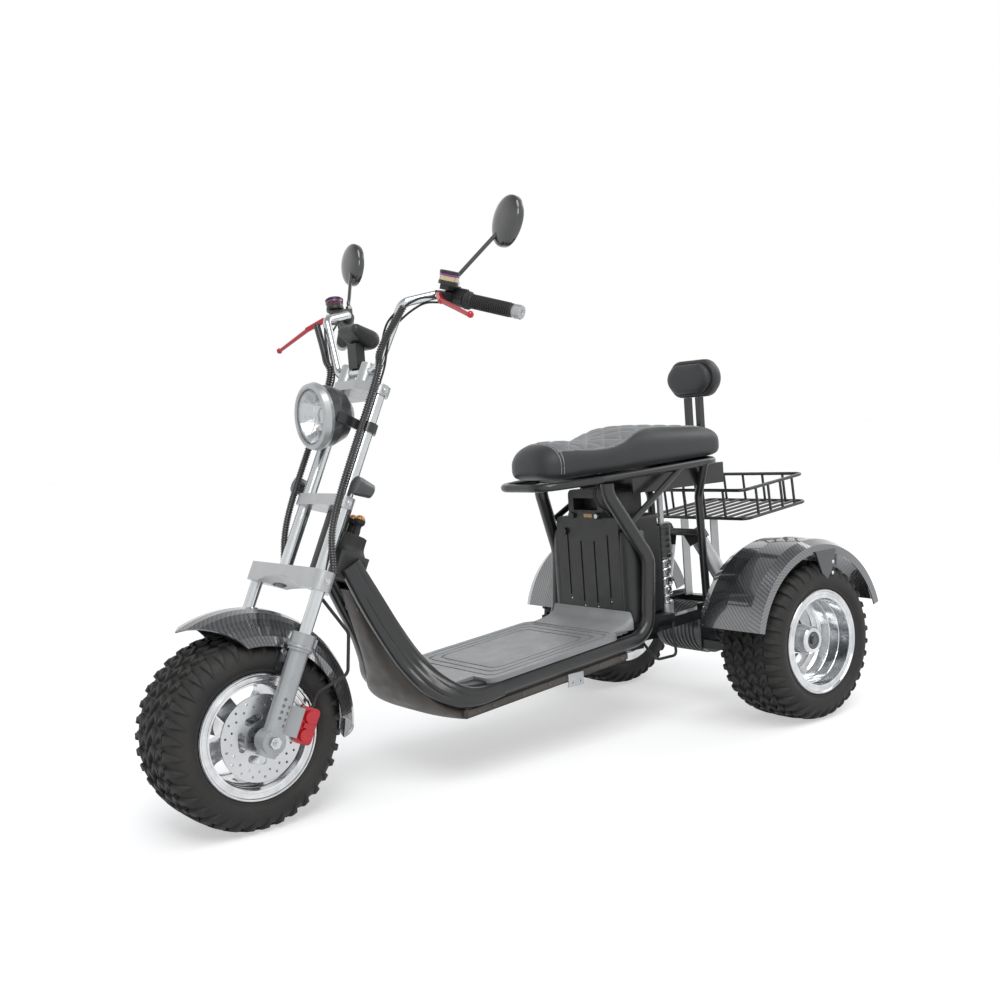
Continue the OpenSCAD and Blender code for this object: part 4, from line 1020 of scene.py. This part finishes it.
def addGrips(b):
    profile = list(b["gripTip"])
    for i in range(b["ribs"]):
        start = b["ribFrom"] + i * (b["gripLength"] - b["plain"]) / b["ribs"]
        profile += [(start + along, b["grip"] + out) for along, out in b["rib"]]
    profile += b["gripFoot"]
    meshes = []
    for side in (1, -1):
        end, ahead, up, inward = barAxes(side)
        meshes.append(turnAlong(end, inward, profile, 36))
    piece = addPiece("ribbedGrips", meshes, "steering", "rubber", 40.0)
    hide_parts("grips")


def addBarEnds(b):
    plugs, lids, rings, bases = [], [], [], []
    for side in (1, -1):
        end, ahead, up, inward = barAxes(side)
        foot = barPoint(side, *b["cup"])
        plugs.append(turnAlong(end, -inward, b["plug"], 40))
        bases.append(turnAlong(foot, up, b["cupBase"], 44, False))
        rings.append(turnAlong(foot, up, b["cupRing"], 44, False))
        lids.append(turnAlong(foot, up, b["cupLid"], 44))
    addPiece("barPlugs", plugs, "steering", "silver_paint", 30.0)
    addPiece("cupLids", lids + bases, "steering", "dark_plastic", 30.0)
    addPiece("cupRings", rings, "steering", "red_anodised", 30.0, purpleAlloy)


addGrips(barSet)
addBarEnds(barSet)

# mirrors: domed shells on bent stems

mirrorSet = {"at": (892.0, 350.0, 1337.2), "tiltDeg": 80.0, "oval": (61.0, 49.0), "leanDeg": -18.0, "sides": 72,
             "rear": -9.0, "brow": 1.0, "crown": 18.5, "domeSteps": 15, "stemRadius": 0.005,
             "stem": [(-9, 26.3, 163), (-9, 47, 163), (-13, 62, 156), (-35, 171, 90)],
             "nut": [(0, 5.2), (0, 9), (9, 9), (10, 8), (10, 5.2)], "shift": 2, "taper": 2.5,
             # share of the oval and how far ahead of the rear
             "lip": [(0.89, 4.5), (0.895, 0.6), (0.91, 0), (0.985, 0), (1.0, 1.6)], "domePowers": (0.8, 0.9)}


def mirrorRing(m, side, shrink, depth):
    # an oval a little fuller at its upper end, drawn in by shrink
    tilt, lean = radians(m["tiltDeg"]), radians(m["leanDeg"])
    tall, wide = m["oval"]
    ring = []
    for a in angles(m["sides"]):
        u, v = tall * cos(a) - m["shift"], (wide - m["taper"] * cos(a)) * sin(a)
        x = (u * cos(lean) - v * sin(lean)) * shrink
        y = (u * sin(lean) + v * cos(lean)) * shrink
        ring.append(place(m["at"][0] + x * cos(tilt) + depth * sin(tilt), side * (m["at"][1] + y),
                          m["at"][2] - x * sin(tilt) + depth * cos(tilt)))
    return ring


def addMirrors(m):
    brow = m["brow"]
    inward, ahead = m["domePowers"]
    rows = [(share, m["rear"] + up) for share, up in m["lip"]] + [(1.0, brow)]
    for k in range(1, m["domeSteps"]):
        a = pi / 2 * k / m["domeSteps"]
        rows.append((cos(a) ** inward, brow + (m["crown"] - brow) * sin(a) ** ahead))
    shells, nuts = [], []
    for side in (1, -1):
        path = smoothPath([barPoint(side, *q) for q in m["stem"]], 12)
        shells.append(loft([mirrorRing(m, side, *row) for row in rows]))
        shells.append(sweepMesh(path, m["stemRadius"], 16))
        nuts.append(turnAlong(path[0], path[1] - path[0], m["nut"], 6, False))
    piece = addPiece("mirrorShells", shells, "steering", "dark_plastic", 40.0, shellGloss)
    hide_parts("mirrors")
    addPiece("mirrorNuts", nuts, "steering", "steel", 30.0)


addMirrors(mirrorSet)

# thin cables from the controls down to the looms: two points from the bar's end, then three on the fork

cableSet = {"radius": 0.0026,
            "routes": [[(36, -6, 178), (58, -22, 222), (40, 150, 992), (12, 119, 905), (2, 116, 862)],
                       [(10, -16, 176), (30, -34, 226), (22, 150, 978), (-4, 120, 900), (-8, 115, 862)]]}


def addCables(c):
    meshes = []
    for side in (1, -1):
        for route in c["routes"]:
            points = [barPoint(side, *at) for at in route[:2]] + [sided(forkPlace, at, side) for at in route[2:]]
            meshes.append(sweepMesh(smoothPath(points, 16), c["radius"], 10))
    addPiece("barCables", meshes, "steering", "rubber", 60.0)


addCables(cableSet)
print("bar ends, mirrors and cables made")

# headlight: a faceted reflector, a bulb shield and two bars behind the glass

reflectorSet = {"at": (82, 0, 742), "neck": 0.010, "rim": 0.0652, "mouth": -0.012, "depth": 0.062, "rings": 14,
                "sides": 80, "fold": 0.0022, "barHeight": 0.031, "barBack": 0.022, "barRadius": 0.0052,
                "bar": [(-0.010, -0.040), (0.002, -0.02), (0.004, 0), (0.002, 0.02), (-0.010, 0.040)],
                "shield": [(0, 9.8), (20, 9.8), (24, 17), (38, 20), (41, 17), (42.5, 6)]}


def addReflector(h):
    centre = forkPlace(*h["at"])
    ahead = Vector((1, 0, 0))
    verts = []
    for i in range(h["rings"] + 1):
        share = i / h["rings"]
        r = h["neck"] + (h["rim"] - h["neck"]) * share
        for k, a in enumerate(angles(h["sides"])):
            fold = h["fold"] * share * (1 if (k // 2) % 2 else -1)
            x = h["mouth"] - h["depth"] * (1 - share ** 2) + fold * (1 - share)
            verts.append(centre + Vector((x, r * cos(a), r * sin(a))))
    faces = ringFaces(h["rings"] + 1, h["sides"]) + [tuple(range(h["sides"]))]
    addPiece("lampReflector", meshOf(verts, faces, outward=False), "steering", "chrome", 12.0)
    foot = centre + ahead * (h["mouth"] - h["depth"] + 0.0005)
    inner = [turnAlong(foot, ahead, h["shield"], 40)]
    for z in (-h["barHeight"], h["barHeight"]):
        at = centre + Vector((h["mouth"] - h["barBack"], 0, z))
        path = smoothPath([at + Vector((x, y, 0)) for x, y in h["bar"]], 8)
        inner.append(sweepMesh(path, h["barRadius"], 10))
    addPiece("lampInner", inner, "steering", "chrome", 30.0)


addReflector(reflectorSet)
print("headlight made")

# battery bay: rounded cheeks beside the pack, a back plate and a tray

baySet = {"low": 292.5, "high": 560.0, "trayTop": 306.6, "middle": 362, "inner": 131, "draw": 0.3,
          "cheek": [(405, 131), (405, 142), (399, 156), (384, 166), (362, 169), (340, 166), (326, 155), (319, 142),
                    (317, 131)],
          # above the foot or below the top, share of the full swell
          "rise": [(0, 0.86), (3, 0.93), (12, 0.98), (60, 1.0)],
          "fall": [(90, 1.0), (40, 0.95), (12, 0.8), (3, 0.55), (0, 0.2)],
          "back": (247, 0, 424, 130, 132, 7.5, 12.0), "tray": ((240, 404), (-162, 162))}


def plate(x, y, z, halfY, halfZ, thick, corner=3.0):
    # a rounded plate that stands on the plane x, facing ahead
    rings = []
    for grow, out in ((0.0, 0.0), (0.0, thick * 0.6), (-0.5, thick * 0.9), (-1.2, thick)):
        ring = []
        for cy, cz, start in ((1, 1, 0), (-1, 1, 90), (-1, -1, 180), (1, -1, 270)):
            for k in range(7):
                a = radians(start + 15 * k)
                ring.append(place(x + out, y + cy * (halfY - corner) + (corner + grow) * cos(a),
                                  z + cz * (halfZ - corner) + (corner + grow) * sin(a)))
        rings.append(ring)
    return loft(rings)


def addBay(b):
    line = smoothPath([(x, y, 0) for x, y in b["cheek"]], 6)
    rows = [(b["low"] + up, swell) for up, swell in b["rise"]]
    rows += [(b["high"] - down, swell) for down, swell in b["fall"]]
    mid, inner = b["middle"], b["inner"]
    meshes = []
    for side in (1, -1):
        rings = []
        for z, swell in rows:
            narrow = 1 - b["draw"] + b["draw"] * swell
            rings.append([place(mid + (q.x - mid) * narrow, side * (inner + (q.y - inner) * swell), z) for q in line])
        meshes.append(loft(rings))
    meshes.append(plate(*b["back"]))
    meshes.append(boxMesh(place, *b["tray"], (b["low"], b["trayTop"])))
    piece = addPiece("batteryBay", meshes, "chassis", "dark_plastic", 40.0)
    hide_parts("battery_bay")


addBay(baySet)

# battery face: panel with plug, readout, lock and screws, in millimetres

faceSet = {
    "x": 405.0, "panel": (0, 597, 66, 11, 1.2), "plug": (-54, 597, 11, 8, 9.0), "readout": (10, 597, 17, 5, 0.8, 1.5),
    "lock": (56, 597), "lockBody": [(0, 9.5), (10, 9.5), (11.5, 8.3), (11.5, 6.5)],
    "lockFace": [(0, 6.5), (1.2, 6.1), (1.4, 2.8), (0.2, 2.4)], "lockOut": 12.7,
    "dots": [(84, 356), (28, 338), (-28, 338), (-84, 356)], "dot": [(0, 3.3), (1.6, 2.97), (2.2, 1.65)],
    "dotOut": -2.9,
}


def addFace(f):
    x = f["x"]
    ahead = Vector((1, 0, 0))
    dark = [plate(x + 0.1, *f["panel"]), plate(x + 1.2, *f["plug"]),
            turnAlong(place(x + 1.2, *f["lock"]), ahead, f["lockBody"], 36)]
    addPiece("batteryFace", dark, "chassis", "dark_plastic", 30.0)
    bright = [turnAlong(place(x + f["lockOut"], *f["lock"]), ahead, f["lockFace"], 36)]
    bright += [turnAlong(place(x + f["dotOut"], *at), ahead, f["dot"], 20) for at in f["dots"]]
    addPiece("lockFace", bright, "chassis", "steel", 30.0)
    addPiece("readout", plate(x + 1.3, *f["readout"]), "chassis", "amber", 30.0, readoutGlow)


addFace(faceSet)

# cove between floor and battery

coveSet = {"line": [(406.5, 335), (409, 325), (415, 316), (426, 308.5), (444, 302.5), (466, 298), (492, 293.6)],
           "half": 169, "boardTop": 31.8, "edge": 0.93, "sink": 0.55, "steps": 24, "bunch": 1.5, "foot": 2}


def addCove(c):
    line = smoothPath([(x, 0, z) for x, z in c["line"]], 6)
    under = floorPlace(line[-1].x, 0, c["boardTop"]).z * 1000
    rings = []
    for k in range(2 * c["steps"] + 1):
        u = -1 + k / c["steps"]
        share = 1 - (1 - abs(u)) ** c["bunch"]
        y = c["half"] * copysign(share, u)
        sink = c["sink"] * (max(0.0, share - c["edge"]) / (1 - c["edge"])) ** 2
        rings.append([place(q.x, y, q.z - (q.z - under) * sink) for q in line]
                     + [place(line[end].x, y, under - c["foot"]) for end in (-1, 0)])
    addPiece("floorCove", loft(rings), "chassis", "board_grey", 50.0)


addCove(coveSet)

# hub caps, sockets of the marker lamps, and tabs under the outer lips of the rear fenders

capSet = {"y": 0.4403, "section": [(0, 23.2), (7.5, 23.2), (9.2, 22.2), (9.8, 19), (8.8, 17.2), (8.8, 11.5),
                                   (12.5, 10.5), (14.5, 8), (14.8, 4)]}
socketSet = {"t": -125, "ys": (-16, 16), "up": 513.6,
             "section": [(0, 7.2), (0, 9.8), (16, 9.8), (17.5, 8.8), (26, 9.2), (32, 14.8), (40.5, 15.1),
                         (41.5, 14.2)]}
tabSet = {"x": -25, "top": 466, "low": 386, "topHalf": 44, "lowHalf": 13, "y": 483.2, "thick": 6.0,
          "screws": [(-48, 402), (-51.75, 432)], "steps": 24, "dropPower": 0.7, "shoulderRate": 3, "rim": 1.2,
          "inset": 1.0, "head": (0.0052, 0.0026, 18, 0.4)}


def addCaps(c):
    for name, body, axle, side in (("hubCapLeft", "rear_wheel_left", leftAxle, 1),
                                   ("hubCapRight", "rear_wheel_right", rightAxle, -1)):
        start = Vector((axle.x, side * c["y"], axle.z))
        cap = turnAlong(start, Vector((0, side, 0)), c["section"], 48)
        addPiece(name, cap, body, "dark_plastic", 30.0, shellGloss)


def addSockets(s):
    sockets = [turnAlong(forkPlace(s["t"], y, s["up"]), steerAxis, s["section"], 32, False) for y in s["ys"]]
    addPiece("lampSockets", sockets, "chassis", "rubber", 40.0)


def addTabs(b):
    tabs, screws = [], []
    for side in (1, -1):
        rings = []
        for grow, out in ((0.0, 0.0), (0.0, b["thick"] - b["rim"]), (-b["inset"], b["thick"])):
            ring = []
            for k in range(b["steps"] + 1):
                u = 1 - 2 * k / b["steps"]
                drop = (1 - abs(u)) ** b["dropPower"]
                half = b["topHalf"] + grow - (b["topHalf"] - b["lowHalf"]) * drop
                across = half * copysign(min(1, abs(u) * b["shoulderRate"]), u)
                ring.append(place(b["x"] + across, side * (b["y"] + out),
                                  b["top"] - (b["top"] - b["low"] + grow) * drop))
            rings.append(ring)
        tabs.append(loft(rings))
        screws += [(place(x, side * (b["y"] + b["thick"]), z), Vector((0, side, 0))) for x, z in b["screws"]]
    addPiece("fenderTabs", tabs, "chassis", "dark_plastic", 40.0, shellGloss)
    addHeads("tabScrews", screws, "chassis", "steel", b["head"])


addCaps(capSet)
addSockets(socketSet)
addTabs(tabSet)
print("trim made")

# fasteners, one set of heads for each body and kind

headSet = {
    "skirt": (962, 915, 820, 735, 560, 480), "skirtAt": (196.4, -34), "bow": (1180.5, 26, 452),
    "frame": (400, 161, 256),
    # on the fork, facing out: ahead, left and up the rake
    "fork": [(-26, 121.6, 180), (20, 121.6, 196), (0, 181.3, 369), (-28, 114.4, 566), (-28, 114.4, 850)],
    "clamp": (-4, 45, 911.5), "axleY": 0.1875, "discY": 0.1142, "discRadius": 0.0225, "discCount": 6,
    "rivet": (0.0058, 0.0024, 16, 0.36), "frameHead": (0.0125, 0.0080, 6, 0.64),
    "forkHead": (0.0070, 0.0052, 6, 0.64), "discHead": (0.0056, 0.0040, 12, 0.5),
}


def addFasteners(h):
    left, ahead = Vector((0, 1, 0)), Vector((1, 0, 0))
    rivets, bolts, forkBolts = [], [], []
    for side in (1, -1):
        out = left * side
        rivets += [(sided(floorPlace, (x, *h["skirtAt"]), side), out) for x in h["skirt"]]
        rivets.append((sided(place, h["bow"], side), ahead))
        bolts.append((sided(place, h["frame"], side), out))
        forkBolts += [(sided(forkPlace, at, side), out) for at in h["fork"]]
        forkBolts.append((sided(forkPlace, h["clamp"], side), steerAxis))
        forkBolts.append((frontAxle + out * h["axleY"], out))
    discBolts = [(at, left) for at in circle(frontAxle + left * h["discY"], ahead, Vector((0, 0, 1)), h["discRadius"],
                                             h["discCount"])]
    addHeads("skirtRivets", rivets, "chassis", "lamp_grey", h["rivet"])
    addHeads("frameBolts", bolts, "chassis", "steel", h["frameHead"])
    addHeads("forkBolts", forkBolts, "steering", "steel", h["forkHead"])
    addHeads("discBolts", discBolts, "front_wheel", "steel", h["discHead"], looks["dark_plastic"])


addFasteners(headSet)
print("fasteners made")

# stage, light and camera

stageSet = {"floorSize": 60.0, "floorColor": (0.6, 0.6, 0.605), "glow": 0.5, "worldLight": 0.42,
            "worldColor": (0.94, 0.97, 1.0), "horizon": (1.0, 1.0, 1.0), "zenith": (0.34, 0.35, 0.36)}


def showsStage(tree):
    # the rays that see the stage itself: straight on, mirrored or through glass
    path = tree.nodes.new("ShaderNodeLightPath")
    seen = math2(tree, "MAXIMUM", path.outputs["Is Camera Ray"], path.outputs["Is Transmission Ray"])
    return math2(tree, "MAXIMUM", seen, path.outputs["Is Glossy Ray"])


def buildStage(s):
    h = s["floorSize"] / 2
    floor = addObject("floor", newMesh([(-h, -h, 0), (h, -h, 0), (h, h, 0), (-h, h, 0)], [(0, 1, 2, 3)]))
    mat, tree, shader = newMaterial("paleFloor")
    setInputs(tree, shader, {"Base Color": (*s["floorColor"], 1), "Roughness": 0.9, "Specular IOR Level": 0.1,
                             "Emission Color": (1, 1, 1, 1),
                             "Emission Strength": math2(tree, "MULTIPLY", showsStage(tree), s["glow"])})
    dress(floor, mat)
    world = bpy.data.worlds.new("studio")
    bpy.context.scene.world = world
    world.use_nodes = True
    tree = world.node_tree
    light = tree.nodes["Background"]
    setInputs(tree, light, {"Color": (*s["worldColor"], 1), "Strength": s["worldLight"]})
    where = node(tree, "ShaderNodeTexCoord").outputs["Generated"]
    height = node(tree, "ShaderNodeSeparateXYZ", {0: where}).outputs[2]
    seen = node(tree, "ShaderNodeBackground", {"Strength": 1.0,
                                               "Color": ramp(tree, height, 0.42, 0.9, s["horizon"], s["zenith"])})
    mix = node(tree, "ShaderNodeMixShader", {0: showsStage(tree), 1: light.outputs[0], 2: seen.outputs[0]})
    setInputs(tree, tree.nodes["World Output"], {"Surface": mix.outputs[0]})


sunSet = {"from": (0.35, 0.75, 1.5), "strength": 1.5, "softDeg": 38.0}
lampSet = [  # name, place, target, size in metres, watts
    ("keyLight", (2.2, 3.4, 3.2), (0.2, 0, 0.5), 1.3, 40),
    ("backLight", (-3.4, 0.6, 2.6), (-0.4, 0, 0.6), 2.0, 30),
]


def facing(direction):
    return Vector(direction).to_track_quat("-Z", "Y").to_euler()


def addSun(s):
    data = bpy.data.lights.new("sunLight", "SUN")
    data.energy = s["strength"]
    data.angle = radians(s["softDeg"])
    addObject("sunLight", data).rotation_euler = facing(-Vector(s["from"]))


def addLamp(name, where, target, size, watts):
    data = bpy.data.lights.new(name, "AREA")
    data.size = size
    data.energy = watts
    obj = addObject(name, data)
    obj.location = where
    obj.rotation_euler = facing(Vector(target) - Vector(where))


cameraSet = {
    "place": place(2635.7, 2548.2, 886.0),
    "look": Vector((-0.6027, -0.7951, -0.0673)),
    "up": Vector((-0.0976, -0.0103, 0.9951)),
    "lens": 43.2, "sensor": 36.0,
}


def addCamera(c):
    data = bpy.data.cameras.new("camera")
    data.lens = c["lens"]
    data.sensor_width = c["sensor"]
    obj = addObject("camera", data)
    back = -c["look"].normalized()
    right = c["up"].cross(back).normalized()
    m = Matrix((right, back.cross(right), back)).transposed().to_4x4()
    m.translation = c["place"]
    obj.matrix_world = m
    bpy.context.scene.camera = obj


buildStage(stageSet)
addSun(sunSet)
for row in lampSet:
    addLamp(*row)
addCamera(cameraSet)
bpy.context.scene.view_settings.view_transform = "Standard"
print("stage, lamps and camera set")
